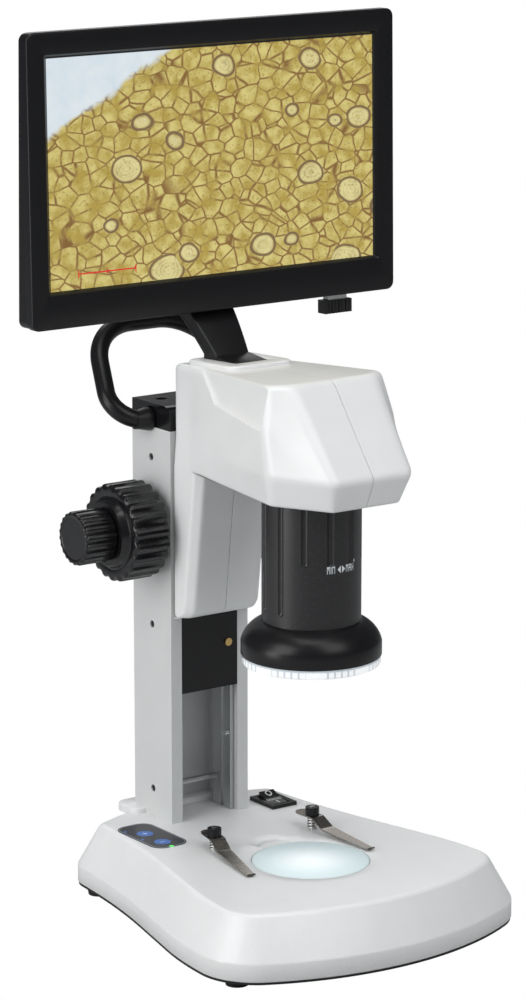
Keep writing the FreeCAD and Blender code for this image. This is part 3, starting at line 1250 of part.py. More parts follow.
def wedge(grow, front):
    """The rear shell's outer form: deep at the bottom, thin at the top."""
    half = DIM["mon_width"] / 2 - 0.4 - grow
    low = DIM["mon_low"] + 0.4 + grow
    high = DIM["mon_low"] + DIM["mon_height"] - 0.4 - grow
    start = DIM["mon_front"]
    rim = flat_ring(half, low, high, max(4.0 - grow, 1.0), front)
    depth_low, depth_top = DIM["shell_low"] - grow, DIM["shell_top"] - grow
    taper = 3.5
    inner = rounded([(-half + taper, low + taper, 3.0), (half - taper, low + taper, 3.0),
                     (half - taper, high - taper, 3.0), (-half + taper, high - taper, 3.0)])
    rise = (depth_top - depth_low) / (high - low - 2 * taper)
    matrix = FreeCAD.Matrix(1, 0, 0, 0, 0, rise, 1, start + depth_low - rise * (low + taper), 0, 1, 0, 0,
                            0, 0, 0, 1)
    back = inner.transformGeometry(matrix)
    middle = rounded([(-half, low, 4.0), (half, low, 4.0), (half, high, 4.0), (-half, high, 4.0)])
    belt_low, belt_top = depth_low - 2.6, depth_top - 2.6
    slope = (belt_top - belt_low) / (high - low)
    matrix = FreeCAD.Matrix(1, 0, 0, 0, 0, slope, 1, start + belt_low - slope * low, 0, 1, 0, 0, 0, 0, 0, 1)
    belt = middle.transformGeometry(matrix)
    return rim, belt, back


def rear_shell():
    front = DIM["mon_back"] + 0.3
    rim, belt, back = wedge(0.0, front)
    body = solid_loft([rim, belt, back])
    wall = DIM["shell_wall"]
    rim, belt, back = wedge(wall, front - 1)
    body = body.cut(solid_loft([rim, belt, back]))
    hinge_y, hinge_z = DIM["hinge_y"], DIM["hinge_z"]
    low = DIM["mon_low"]
    half = DIM["arm_half_top"] + 0.5
    rear = DIM["mon_front"] + DIM["shell_low"]
    top = hinge_z + DIM["hinge_radius"] + 4
    walls = box_shape((-half - 5, front, low + 0.4), (half + 5, rear - 1.5, top + 2))
    lugs = []
    for side in (-1, 1):
        x = half if side > 0 else -half - 5
        lug = Part.makeCylinder(DIM["hinge_radius"] + 0.6, 5, VEC(x, hinge_y, hinge_z), VEC(1, 0, 0))
        arm = box_shape((x, front, hinge_z - DIM["hinge_radius"] - 0.6), (x + 5, hinge_y, hinge_z
                                                                       + DIM["hinge_radius"] + 0.6))
        lugs += [lug, arm]
    notch = box_shape((-half, front - 1, low - 5), (half, rear + 20, top))
    body = body.fuse([walls] + lugs).cut(notch)
    pin = Part.makeCylinder(DIM["pin_radius"] + DIM["run_gap"], 80, VEC(-40, hinge_y, hinge_z), VEC(1, 0, 0))
    port = DIM["mon_width"] / 2 - DIM["usb_inset"]
    socket = box_shape((port - 6.6, front - 1, low - 1), (port + 6.6, front + 5.2, low + 4))
    node("rear_shell", form("shell", body.cut(Part.makeCompound([pin, socket])).removeSplitter()), lean_back())
    length = 2 * (half + 5)
    node("hinge_pin", form("pin", Part.makeCylinder(DIM["pin_radius"], length, VEC(-length / 2, hinge_y, hinge_z),
                                                    VEC(1, 0, 0))))


def monitor_inside():
    front = DIM["mon_back"] + 0.4
    low = DIM["mon_low"]
    right = DIM["mon_width"] / 2 - DIM["board_inset"]
    left = right - DIM["board_width"]
    board = box_shape((left, front, low + 12), (right, front + 1.6, low + 60))
    posts = []
    for z in (low + 20, low + 52):
        share = (z + 2 - low) / DIM["mon_height"]
        depth = DIM["shell_low"] + (DIM["shell_top"] - DIM["shell_low"]) * share - DIM["shell_wall"]
        reach = DIM["mon_front"] + depth - front - 1.6
        posts += [Part.makeCylinder(2, reach - 0.1, VEC(x, front + 1.6, z), VEC(0, 1, 0))
                  for x in (left + 6, right - 6)]
    chip = box_shape((left + 22, front + 1.6, low + 30), (left + 36, front + 3.6, low + 44))
    node("monitor_board", form("board", board.fuse(posts + [chip]).removeSplitter()), lean_back())
    x = DIM["mon_width"] / 2 - DIM["usb_inset"]
    case = box_shape((x - 6.5, front, low + 0.4), (x + 6.5, front + 5.0, low + 12))
    mouth = box_shape((x - 6.1, front + 0.2, low - 1), (x + 6.1, front + 4.8, low + 11))
    tongue = box_shape((x - 5.4, front + 2.9, low + 2), (x + 5.4, front + 4.4, low + 11.5))
    node("usb_socket", form("socket", case.cut(mouth).fuse(tongue)), lean_back())
    plug = box_shape((x - 6.0, front + 0.3, low - 3.2), (x + 6.0, front + 4.7, low + 10))
    hollow = box_shape((x - 5.6, front + 2.4, low - 1), (x + 5.6, front + 4.5, low + 12))
    node("usb_plug", form("plug", plug.cut(hollow)), lean_back())
    body = box_shape((x - 8.5, front - 0.9, low - 10.2), (x + 8.5, front + 5.9, low - 3.2))
    ribs = []
    for index in range(7):
        for side in (-1, 1):
            y = front - 0.9 if side < 0 else front + 5.9
            ribs.append(Part.makeCylinder(0.45, 10, VEC(x - 6.6 + 2.2 * index, y, low - 12)))
    node("usb_cap", form("cap", body.cut(Part.makeCompound(ribs))), lean_back())
    screws = []
    for sx in (-1, 1):
        for z in (low + 14, low + DIM["mon_height"] - 14):
            start = VEC(sx * (DIM["mon_width"] / 2 - DIM["mon_screw_inset"]), DIM["mon_back"] + 0.2, z)
            screws.append(Part.makeCylinder(1.4, 2.2, start, VEC(0, 1, 0)))
    node("monitor_screws", form("screws", Part.makeCompound(screws)), lean_back())


def main():
    base_housing()
    bottom_plate()
    base_screws()
    stage()
    controls()
    clips()
    column()
    rails()
    column_screws()
    column_cap()
    handle()
    drive()
    knobs()
    carriage()
    head_shells()
    head_fittings()
    head_screws()
    monitor_arm()
    camera()
    bell()
    light_ring()
    optics()
    front_bezel()
    rear_shell()
    monitor_inside()
    doc.recompute()
    for obj in doc.Objects:
        faults = [state for state in obj.State if state in ("Invalid", "Error")]
        if faults:
            raise RuntimeError(f"{obj.Name} {obj.Label}: {faults}")
    for obj in NODES:
        if obj.Shape.isNull() or not obj.Shape.isValid() or not obj.Shape.Solids:
            raise RuntimeError(f"{obj.Label}: no valid solid")
    os.makedirs("parts", exist_ok=True)
    for obj in NODES:
        obj.Shape.exportStep(os.path.join("parts", obj.Label + ".step"))
    print(f"{len(NODES)} nodes written")


main()
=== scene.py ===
"""Looks of the digital microscope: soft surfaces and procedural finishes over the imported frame."""

import logging
import math
from collections.abc import Callable, Sequence
from dataclasses import dataclass, field
from enum import Enum

import bmesh
import bpy
import numpy as np
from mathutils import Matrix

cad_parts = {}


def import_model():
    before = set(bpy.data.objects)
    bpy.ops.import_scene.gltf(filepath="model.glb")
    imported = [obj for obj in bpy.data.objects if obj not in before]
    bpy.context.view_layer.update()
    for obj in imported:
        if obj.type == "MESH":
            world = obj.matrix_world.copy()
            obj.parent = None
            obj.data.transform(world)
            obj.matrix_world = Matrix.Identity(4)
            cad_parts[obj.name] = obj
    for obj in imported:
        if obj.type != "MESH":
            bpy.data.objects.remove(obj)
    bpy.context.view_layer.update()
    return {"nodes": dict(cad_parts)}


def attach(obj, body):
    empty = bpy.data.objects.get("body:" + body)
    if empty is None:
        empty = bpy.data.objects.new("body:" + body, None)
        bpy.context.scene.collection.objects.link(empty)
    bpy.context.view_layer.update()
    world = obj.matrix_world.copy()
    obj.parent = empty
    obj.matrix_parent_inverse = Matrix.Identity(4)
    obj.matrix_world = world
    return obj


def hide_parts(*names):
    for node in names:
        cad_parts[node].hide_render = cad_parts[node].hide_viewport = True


LOG = logging.getLogger("microscope")

MM = 0.001

# Places of the frame, in millimetres: heights, or (y, z) of an axis
BASE_TOP = 37.0
OPTIC_Y = -35.5
SHAFT = (71.5, 193.6)
HINGE = (62.0, 321.0)
HANDLE_PIVOT = (72.9, 250.6)
SCREEN_Z = 384.7

TO_DEGREES = 180.0 / math.pi
FULL_TURN = 2.0 * math.pi

Colour = tuple[float, float, float, float]
Level = tuple[float, float]


class Body(str, Enum):
    """Bodies of the frame that the new surfaces ride on."""

    BASE = "base"
    STAGE = "stage"
    HEAD = "head"
    COARSE = "coarse_drive"
    FINE = "fine_drive"
    HANDLE = "handle"
    MONITOR = "monitor"


# Shader graphs


class Signal:
    """An output socket whose arithmetic adds Math nodes to its graph."""

    def __init__(self, graph: "Graph", socket: bpy.types.NodeSocket) -> None:
        """Wraps a socket of a graph."""
        self.graph = graph
        self.socket = socket

    def math(self, operation: str, *others: "Signal | float") -> "Signal":
        """Adds one Math node.

        Args:
            operation: Blender's name of the operation.
            others: The further inputs, signals or plain numbers.

        Returns:
            The node's result.
        """
        return self.graph.math(operation, self, *others)

    def __add__(self, other: "Signal | float") -> "Signal":
        """The sum."""
        return self.math("ADD", other)

    __radd__ = __add__

    def __sub__(self, other: "Signal | float") -> "Signal":
        """The difference."""
        return self.math("SUBTRACT", other)

    def __rsub__(self, other: float) -> "Signal":
        """A plain number less this value."""
        return self.graph.math("SUBTRACT", other, self)

    def __mul__(self, other: "Signal | float") -> "Signal":
        """The product."""
        return self.math("MULTIPLY", other)

    __rmul__ = __mul__

    def above(self, edge: float, soft: float) -> "Signal":
        """Smooth step from 0 to 1 as the value passes an edge.

        Args:
            edge: Where the step is half way.
            soft: Half the width of the step.

        Returns:
            The step.
        """
        step = self.graph.add("ShaderNodeMapRange", interpolation_type="SMOOTHSTEP", Value=self)
        step.inputs["From Min"].default_value = edge - soft
        step.inputs["From Max"].default_value = edge + soft
        return Signal(self.graph, step.outputs["Result"])

    def below(self, edge: float, soft: float) -> "Signal":
        """Smooth step from 1 to 0; the arguments are those of above."""
        return 1.0 - self.above(edge, soft)

    def wave(self, rate: float) -> "Signal":
        """A ripple between 0 and 1 whose phase is the value times a rate."""
        return (self * rate).math("SINE") * 0.5 + 0.5


class Graph:
    """One procedural material and the nodes in it."""

    def __init__(self, name: str) -> None:
        """Makes an empty material.

        Args:
            name: Name of the finish.
        """
        self.name = name
        self.material = bpy.data.materials.new("look_" + name)
        self.material.use_nodes = True
        self.tree = self.material.node_tree
        self.shader = self.tree.nodes["Principled BSDF"]

    def feed(self, socket: bpy.types.NodeSocket, value: object) -> None:
        """Links a signal to a socket, or writes a plain value on it.

        Args:
            socket: The input.
            value: A signal, a number or a colour.
        """
        if isinstance(value, Signal):
            self.tree.links.new(value.socket, socket)
        else:
            socket.default_value = value

    def add(self, kind: str, **settings: object) -> bpy.types.Node:
        """Adds a node of any kind.

        Args:
            kind: Blender's class name of the node.
            settings: Input sockets by name, otherwise the node's own properties.

        Returns:
            The node.
        """
        node = self.tree.nodes.new(kind)
        for key, value in settings.items():
            if key in node.inputs and not hasattr(type(node), key):
                self.feed(node.inputs[key], value)
            else:
                setattr(node, key, value)
        return node

    def math(self, operation: str, *terms: "Signal | float") -> Signal:
        """Adds one Math node over the given terms and returns its result.

        Args:
            operation: Blender's name of the operation.
            terms: The inputs in order.

        Returns:
            The result.
        """
        node = self.add("ShaderNodeMath", operation=operation)
        for socket, term in zip(node.inputs, terms):
            self.feed(socket, term)
        return Signal(self, node.outputs[0])

    def place(self) -> Signal:
        """Returns the point in the piece's own frame, in metres."""
        return Signal(self, self.add("ShaderNodeTexCoord").outputs["Object"])

    def axes(self) -> tuple[Signal, Signal, Signal]:
        """Returns the point's three coordinates in millimetres."""
        parts = self.add("ShaderNodeSeparateXYZ", Vector=self.place())
        return tuple(Signal(self, parts.outputs[i]) * (1.0 / MM) for i in range(3))

    def turn(self, x: Signal, y: Signal) -> Signal:
        """Angle about the optical axis in radians, 0 at the front and positive to the right."""
        return x.math("ARCTAN2", OPTIC_Y - y)

    def noise(self, size: float, detail: float = 3.0) -> Signal:
        """Fractal noise over the piece's own frame, 0 to 1.

        Args:
            size: Size of its largest features in millimetres.
            detail: Number of octaves.

        Returns:
            The noise.
        """
        node = self.add("ShaderNodeTexNoise", Vector=self.place(), Scale=1.0 / (size * MM), Detail=detail)
        return Signal(self, node.outputs["Factor" if "Factor" in node.outputs else "Fac"])

    def mix(self, factor: "Signal | float", low: object, high: object) -> Signal:
        """Mixes two colours.

        Args:
            factor: 0 shows the first, 1 the second.
            low: First colour, a signal or an RGBA tuple.
            high: Second colour.

        Returns:
            The mixed colour.
        """
        node = self.add("ShaderNodeMix", data_type="RGBA")
        for socket, value in ((node.inputs[0], factor), (node.inputs[6], low), (node.inputs[7], high)):
            self.feed(socket, value)
        return Signal(self, node.outputs[2])

    def bump(self, height: Signal, depth: float) -> None:
        """Raises the surface's shading by a height signal.

        Args:
            height: 0 to 1.
            depth: Full height in millimetres.
        """
        node = self.add("ShaderNodeBump", Height=height, Distance=depth * MM, Strength=1.0)
        self.tree.links.new(node.outputs["Normal"], self.shader.inputs["Normal"])

    def set(self, **values: object) -> "Graph":
        """Sets inputs of the surface shader; underscores stand for spaces.

        Args:
            values: Input names and their signals, numbers or colours.

        Returns:
            The graph itself.
        """
        for key, value in values.items():
            self.feed(self.shader.inputs[key.replace("_", " ")], value)
        return self


def rgb(red: float, green: float, blue: float) -> Colour:
    """An opaque linear colour."""
    return red, green, blue, 1.0


def disc(x: Signal, y: Signal, centre: tuple[float, float], radius: float, soft: float = 0.15) -> Signal:
    """1 inside a circle, 0 outside it."""
    dx, dy = x - centre[0], y - centre[1]
    return (dx * dx + dy * dy).math("SQRT").below(radius, soft)


def bar(x: Signal, y: Signal, centre: tuple[float, float], half: tuple[float, float],
        soft: float = 0.12) -> Signal:
    """1 inside an upright rectangle, 0 outside it.

    Args:
        x: First coordinate.
        y: Second coordinate.
        centre: The rectangle's middle.
        half: Half its width and half its height.
        soft: Half the blur of its edge.

    Returns:
        The mask.
    """
    across = (x - centre[0]).math("ABSOLUTE") - half[0]
    along = (y - centre[1]).math("ABSOLUTE") - half[1]
    return across.math("MAXIMUM", along).below(0.0, soft)


def joined(first: Signal, *others: Signal) -> Signal:
    """The greatest of several masks.

    Args:
        first: A mask.
        others: Further masks.

    Returns:
        Their union.
    """
    for other in others:
        first = first.math("MAXIMUM", other)
    return first


@dataclass(frozen=True)
class Finish:
    """A plain finish with a fine grain.

    Attributes:
        name: Name of the finish.
        colour: Linear red, green and blue.
        roughness: Highest roughness.
        metallic: 1 for bare metal.
        coat: Weight of a clear coat.
        grain: Size of the grain in millimetres.
        depth: Depth of the grain in millimetres.
        spread: How far roughness varies.
        gleam: Strength of the surface's reflection.
    """

    name: str
    colour: tuple[float, float, float]
    roughness: float
    metallic: float = 0.0
    coat: float = 0.0
    grain: float = 0.6
    depth: float = 0.02
    spread: float = 0.04
    gleam: float = 0.5

    def build(self) -> Graph:
        """Builds the material.

        Returns:
            The material's graph.
        """
        graph = Graph(self.name)
        grain = graph.noise(self.grain)
        broad = graph.noise(18.0, 2.0)
        dark = rgb(*(channel * 0.93 for channel in self.colour))
        graph.set(
            Base_Color=graph.mix(broad, dark, rgb(*self.colour)),
            Roughness=broad * self.spread + grain * self.spread + (self.roughness - self.spread),
            Metallic=self.metallic,
            Coat_Weight=self.coat,
            Coat_Roughness=0.12,
            Specular_IOR_Level=self.gleam,
        )
        graph.bump(grain, self.depth)
        return graph


FINISHES = (
    Finish("white_satin", (0.82, 0.825, 0.82), 0.34, grain=1.2, depth=0.006, coat=0.15),
    Finish("white_pebbled", (0.80, 0.805, 0.80), 0.38, grain=0.9, depth=0.16, coat=0.2),
    Finish("column_coat", (0.70, 0.705, 0.70), 0.42, metallic=0.1, grain=0.4, depth=0.015),
    Finish("black_satin", (0.008, 0.008, 0.009), 0.32, grain=0.5, depth=0.012, gleam=0.35),
    Finish("black_gloss", (0.006, 0.006, 0.007), 0.2, grain=0.8, depth=0.004, coat=0.2, gleam=0.4),
    Finish("black_matt", (0.010, 0.010, 0.010), 0.5, grain=0.4, depth=0.03, gleam=0.4),
    Finish("knob_black", (0.005, 0.005, 0.006), 0.27, grain=0.5, depth=0.008, coat=0.15, gleam=0.5),
    Finish("rubber", (0.018, 0.018, 0.018), 0.72, grain=0.5, depth=0.03),
    Finish("bright_steel", (0.78, 0.78, 0.77), 0.22, metallic=1.0, grain=0.5, depth=0.004),
    Finish("clip_steel", (0.36, 0.33, 0.30), 0.27, metallic=1.0, grain=2.5, depth=0.008, spread=0.08),
    Finish("drawn_alloy", (0.62, 0.63, 0.64), 0.33, metallic=1.0, grain=0.5, depth=0.01),
    Finish("brass", (0.72, 0.50, 0.20), 0.28, metallic=1.0, grain=0.5, depth=0.006),
    Finish("circuit_board", (0.02, 0.14, 0.06), 0.4, grain=1.0, depth=0.01, coat=0.3),
)


# Finishes with markings


@dataclass(frozen=True)
class Words:
    """Plain block letters on a round wall, as bars over the angle in degrees and the height.

    Attributes:
        text: The letters, out of M I N A X 1 3.
        start: Left end in degrees.
        middle: Height of their middle.
        wide: Width of one letter in degrees.
        line: Thickness of a stroke.
        high: Height of a letter.
        soft: Half the blur of an edge.
    """

    text: str
    start: float
    middle: float
    wide: float
    line: float
    high: float = 3.6
    soft: float = 0.2

    def shapes(self) -> dict[str, list[tuple[float, float, float, float]]]:
        """The bars of each letter as (low, high, left, right).

        Returns:
            Bars by letter, measured from a letter's left end and its middle.
        """
        wide, line, half = self.wide, self.line, self.high / 2
        stem, far_stem = (-half, half, 0.0, line), (-half, half, wide - line, wide)
        roof, sole = (half - line, half, 0.0, wide), (-half, line - half, 0.0, wide)
        belt = (-line / 2, line / 2, 0.0, wide)
        return {
            "M": [stem, far_stem, roof, (-0.1, half, (wide - line) / 2, (wide + line) / 2)],
            "I": [stem],
            "N": [stem, far_stem, roof],
            "A": [stem, far_stem, roof, belt],
            "X": [(-line / 2, line / 2, line, wide - line), (line / 2, half, 0.0, line),
                  (-half, -line / 2, 0.0, line), (line / 2, half, wide - line, wide),
                  (-half, -line / 2, wide - line, wide)],
            "1": [(-half, half, wide / 2, wide / 2 + line)],
            "3": [far_stem, roof, sole, belt],
        }

    def mask(self, angle: Signal, height: Signal) -> Signal:
        """1 on the strokes, 0 beside them.

        Args:
            angle: Degrees about the optical axis.
            height: Height in millimetres.

        Returns:
            The mask.
        """
        shapes = self.shapes()
        left_end = self.start
        bars = []
        for letter in self.text:
            for low, high, left, right in shapes[letter]:
                centre = (left_end + (left + right) / 2, self.middle + (low + high) / 2)
                bars.append(bar(angle, height, centre, ((right - left) / 2, (high - low) / 2), self.soft))
            left_end += (self.line if letter == "I" else self.wide) + self.line * 1.4
        return joined(*bars)


@dataclass(frozen=True)
class BarrelFinish:
    """Black anodised barrel with fine specks and the white range marks above the window."""

    middle: float = 194.0
    arrow_gap: float = 0.9
    arrow_half: float = 1.9
    arrow_slope: float = 2.3
    dot: tuple[float, float] = (20.8, 197.0)
    words: tuple[Words, ...] = (Words("MIN", -18.4, 194.0, 3.6, 0.7), Words("MAX", 6.6, 194.0, 3.6, 0.7))
    front_limit: float = -15.0
    black: Colour = rgb(0.010, 0.010, 0.011)
    speck: Colour = rgb(0.07, 0.07, 0.08)
    mark: Colour = rgb(0.75, 0.78, 0.80)

    def build(self) -> Graph:
        """Builds the material.

        Returns:
            The material's graph.
        """
        graph = Graph("barrel_black")
        x, y, z = graph.axes()
        angle = graph.turn(x, y) * TO_DEGREES
        taper = self.arrow_half - (z - self.middle).math("ABSOLUTE")
        arrows = []
        for side in (-1.0, 1.0):
            along = angle * side - self.arrow_gap
            arrows.append(along.above(0.0, 0.25) * (taper * self.arrow_slope - along).above(0.0, 0.3))
        words = [word.mask(angle, z) for word in self.words]
        white = joined(disc(angle, z, self.dot, 0.8, 0.4), *arrows, *words)
        white = white * (y - OPTIC_Y).below(self.front_limit, 1.0)
        base = graph.mix(graph.noise(0.5, 1.0).above(0.70, 0.03), self.black, self.speck)
        graph.set(Base_Color=graph.mix(white, base, self.mark), Roughness=0.34 + graph.noise(0.8) * 0.08,
                  Specular_IOR_Level=0.7)
        graph.bump(graph.noise(0.8), 0.03)
        return graph


@dataclass(frozen=True)
class ZoomFinish:
    """Zoom ring with grip lines below and its marks above."""

    tick: tuple[float, float] = (-19.0, 187.8)
    words: tuple[Words, ...] = (Words("3X", -47.0, 185.0, 3.2, 0.8), Words("1X", -20.4, 185.0, 3.2, 0.8))
    grip_top: float = 180.6
    grip_lines: float = 108.0
    black: Colour = rgb(0.014, 0.014, 0.015)
    mark: Colour = rgb(0.75, 0.75, 0.75)

    def build(self) -> Graph:
        """Builds the material.

        Returns:
            The material's graph.
        """
        graph = Graph("zoom_black")
        x, y, z = graph.axes()
        turn = graph.turn(x, y)
        angle = turn * TO_DEGREES
        words = [word.mask(angle, z) for word in self.words]
        white = joined(bar(angle, z, self.tick, (0.5, 0.9), 0.2), *words)
        graph.set(Base_Color=graph.mix(white, self.black, self.mark), Roughness=0.36)
        graph.bump(turn.wave(self.grip_lines) * z.below(self.grip_top, 0.4), 0.5)
        return graph


@dataclass(frozen=True)
class RockerFinish:
    """Glossy rocker with a ring mark on its raised end and a bar mark at its front."""

    ring: tuple[float, float] = (41.0, 58.6)
    ring_outer: float = 1.9
    ring_inner: float = 1.3
    line: tuple[float, float] = (41.0, 50.0)

    def build(self) -> Graph:
        """Builds the material.

        Returns:
            The material's graph.
        """
        graph = Graph("rocker_black")
        x, y, _ = graph.axes()
        ring = disc(x, y, self.ring, self.ring_outer) * (1.0 - disc(x, y, self.ring, self.ring_inner))
        white = joined(ring, bar(x, y, self.line, (0.3, 1.7)))
        graph.set(Base_Color=graph.mix(white, rgb(0.012, 0.012, 0.013), rgb(0.8, 0.8, 0.8)), Roughness=0.24,
                  Coat_Weight=0.3)
        return graph


@dataclass(frozen=True)
class FilmFinish:
    """Touch film: dark field, thin pale rim, two blue fields with dots, a green light."""

    centre: tuple[float, float] = (-44.0, 43.5)
    half: tuple[float, float] = (10.5, 21.0)
    corner: float = 7.0
    brighter: tuple[float, float] = (-45.2, 48.2)
    dimmer: tuple[float, float] = (-45.3, 31.8)
    key_radius: float = 4.35
    dots: tuple[tuple[float, float], ...] = ((-52.0, 56.4), (-52.0, 40.4))
    light: tuple[float, float] = (-45.5, 23.2)
    layers: tuple[Colour, ...] = (rgb(0.25, 0.27, 0.3), rgb(0.02, 0.13, 0.48), rgb(0.05, 0.25, 0.75),
                                  rgb(0.55, 0.65, 0.85), rgb(0.10, 0.75, 0.15))

    def rim(self, x: Signal, y: Signal) -> Signal:
        """The pale line just inside the film's rounded edge.

        Args:
            x: Millimetres across.
            y: Millimetres to the rear.

        Returns:
            The mask.
        """
        edge = (x - self.centre[0]).math("ABSOLUTE") - self.half[0]
        side = (y - self.centre[1]).math("ABSOLUTE") - self.half[1]
        corner_x = (edge + self.corner).math("MAXIMUM", 0.0)
        corner_y = (side + self.corner).math("MAXIMUM", 0.0)
        away = (corner_x * corner_x + corner_y * corner_y).math("SQRT") - self.corner
        return away.above(-1.0, 0.12) * away.below(-0.45, 0.12)

    def build(self) -> Graph:
        """Builds the material.

        Returns:
            The material's graph.
        """
        graph = Graph("touch_film")
        x, y, _ = graph.axes()
        keys = joined(*(disc(x, y, spot, self.key_radius) for spot in (self.brighter, self.dimmer)))
        dots = joined(*(disc(x, y, spot, 0.8) for spot in self.dots))
        signs = joined(bar(x, y, self.brighter, (1.5, 0.3)), bar(x, y, self.dimmer, (1.5, 0.3)),
                       bar(x, y, self.brighter, (0.3, 1.5)))
        green = disc(x, y, self.light, 1.3)
        colour = rgb(0.012, 0.014, 0.02)
        for mask, layer in zip((self.rim(x, y), keys, dots, signs, green), self.layers):
            colour = graph.mix(mask, colour, layer)
        graph.set(Base_Color=colour, Roughness=0.32, Emission_Strength=0.5,
                  Emission_Color=graph.mix(green, rgb(0.0, 0.0, 0.0), rgb(0.1, 1.0, 0.15)))
        return graph


@dataclass(frozen=True)
class ScreenFinish:
    """A made-up micrograph: golden plant cells with brown walls, a pale edge and a plain red scale."""

    half: tuple[float, float] = (99.5, 57.5)
    cell_scale: float = 1.1
    vessel_scale: float = 0.36
    scale_spot: tuple[float, float] = (-66.0, -50.0)
    scale_half: float = 17.0
    gold: tuple[Colour, Colour] = (rgb(0.46, 0.34, 0.065), rgb(0.72, 0.62, 0.22))
    wall: Colour = rgb(0.24, 0.12, 0.03)
    vessel: Colour = rgb(0.82, 0.76, 0.42)
    vessel_rim: Colour = rgb(0.13, 0.05, 0.02)
    speck: Colour = rgb(0.22, 0.13, 0.03)
    empty: tuple[Colour, Colour] = (rgb(0.62, 0.74, 0.84), rgb(0.86, 0.90, 0.90))
    red: Colour = rgb(0.75, 0.03, 0.02)

    def tissue(self, graph: Graph, x: Signal, z: Signal) -> Signal:
        """Colour of the cells and the round vessels among them.

        Args:
            graph: The material's graph.
            x: Millimetres across.
            z: Millimetres above the middle.

        Returns:
            The colour.
        """
        warp = graph.noise(22.0, 2.0) * 9.0
        spot = graph.add("ShaderNodeCombineXYZ", X=(x + warp) * 0.1, Y=z * 0.13 + warp * 0.05, Z=0.0)
        spot = Signal(graph, spot.outputs[0])
        cells = graph.add("ShaderNodeTexVoronoi", feature="DISTANCE_TO_EDGE", Vector=spot,
                          Scale=self.cell_scale)
        walls = Signal(graph, cells.outputs["Distance"]).below(0.05, 0.045)
        vessels = graph.add("ShaderNodeTexVoronoi", Vector=spot, Scale=self.vessel_scale)
        tint = graph.add("ShaderNodeSeparateColor", Color=Signal(graph, vessels.outputs["Color"]))
        away = Signal(graph, vessels.outputs["Distance"]) + Signal(graph, tint.outputs[0]) * 0.25
        bore = away.below(0.40, 0.012)
        mottle = graph.noise(7.0, 6.0)
        colour = graph.mix(mottle.above(0.5, 0.2), *self.gold)
        colour = graph.mix(walls * (1.0 - bore) * mottle.above(0.42, 0.14), colour, self.wall)
        colour = graph.mix(bore * (0.3 + away.wave(90.0) * 0.35), colour, self.vessel)
        colour = graph.mix(away.above(0.345, 0.015) * bore * 0.85, colour, self.vessel_rim)
        return graph.mix(graph.noise(1.3, 3.0).above(0.62, 0.05) * 0.45, colour, self.speck)

    def scale_mark(self, x: Signal, z: Signal) -> Signal:
        """A line with a tick at each end and a shorter one in the middle.

        Args:
            x: Millimetres across.
            z: Millimetres above the middle.

        Returns:
            The mask.
        """
        across, up = self.scale_spot
        marks = [bar(x, z, self.scale_spot, (self.scale_half, 0.35)), bar(x, z, self.scale_spot, (0.35, 1.1))]
        marks += [bar(x, z, (across + side * self.scale_half, up), (0.35, 1.8)) for side in (-1.0, 1.0)]
        return joined(*marks)

    def build(self) -> Graph:
        """Builds the material.

        Returns:
            The material's graph.
        """
        graph = Graph("screen_image")
        x, _, z = graph.axes()
        z = z - SCREEN_Z
        shore = (x * 0.55 - z + graph.noise(14.0, 4.0) * 16.0).below(-64.0, 2.0)
        pale = graph.mix(graph.noise(9.0, 4.0), *self.empty)
        colour = graph.mix(shore, self.tissue(graph, x, z), pale)
        colour = graph.mix(self.scale_mark(x, z), colour, self.red)
        inside = bar(x, z, (0.0, 0.0), self.half, 0.15)
        colour = graph.mix(inside, rgb(0.01, 0.01, 0.01), colour)
        graph.set(Base_Color=rgb(0.012, 0.012, 0.014), Roughness=0.16, Emission_Color=colour,
                  Emission_Strength=0.92)
        return graph


@dataclass(frozen=True)
class StageFinish:
    """Frosted plate lit from below, brightest in the middle."""

    bright_radius: float = 13.0
    fade: float = 16.0
    rim_radius: float = 28.9
    frost: Colour = rgb(0.70, 0.79, 0.80)

    def build(self) -> Graph:
        """Builds the material.

        Returns:
            The material's graph.
        """
        graph = Graph("stage_frosted")
        x, y, _ = graph.axes()
        ahead = y - OPTIC_Y
        away = (x * x + ahead * ahead).math("SQRT")
        glow = graph.mix(away.above(self.bright_radius, self.fade), rgb(1.0, 1.0, 1.0), rgb(0.12, 0.20, 0.21))
        glow = graph.mix(away.above(self.rim_radius, 0.3), glow, rgb(0.0, 0.02, 0.02))
        graph.set(Base_Color=self.frost, Roughness=0.4, Emission_Color=glow, Emission_Strength=0.42)
        graph.bump(graph.noise(0.5), 0.03)
        return graph


@dataclass(frozen=True)
class RingFinish:
    """Clear ring that carries the lamps' light to its edge."""

    facets: float = 60.0
    lamps: float = 8.0
    low: float = 141.9
    lamp_top: float = 144.6
    high: float = 144.7
    clear: Colour = rgb(0.45, 0.48, 0.50)

    def build(self) -> Graph:
        """Builds the material.

        Returns:
            The material's graph.
        """
        graph = Graph("ring_clear")
        x, y, z = graph.axes()
        turn = graph.turn(x, y)
        # The emitted colour is painted light: glow over the eight lamps, brighter below 144 mm, and painted
        # shade in sixty bands at the facets and along the top and bottom edges.
        lamps = turn.wave(self.lamps).above(0.72, 0.2) * z.below(self.lamp_top, 0.6)
        shade = graph.mix(z.above(144.0, 1.6), rgb(1.0, 1.0, 1.0), rgb(0.78, 0.84, 0.88))
        shade = graph.mix(turn.wave(self.facets).above(0.82, 0.12) * 0.75, shade, rgb(0.22, 0.26, 0.30))
        shade = graph.mix(z.above(self.high, 0.35), shade, rgb(0.30, 0.34, 0.37))
        shade = graph.mix(z.below(self.low, 0.3) * 0.5, shade, rgb(0.5, 0.55, 0.58))
        shade = graph.mix(lamps, shade, rgb(1.0, 1.0, 1.0))
        graph.set(Base_Color=self.clear, Roughness=0.12, Emission_Color=shade, Emission_Strength=0.62,
                  Coat_Weight=0.6)
        return graph


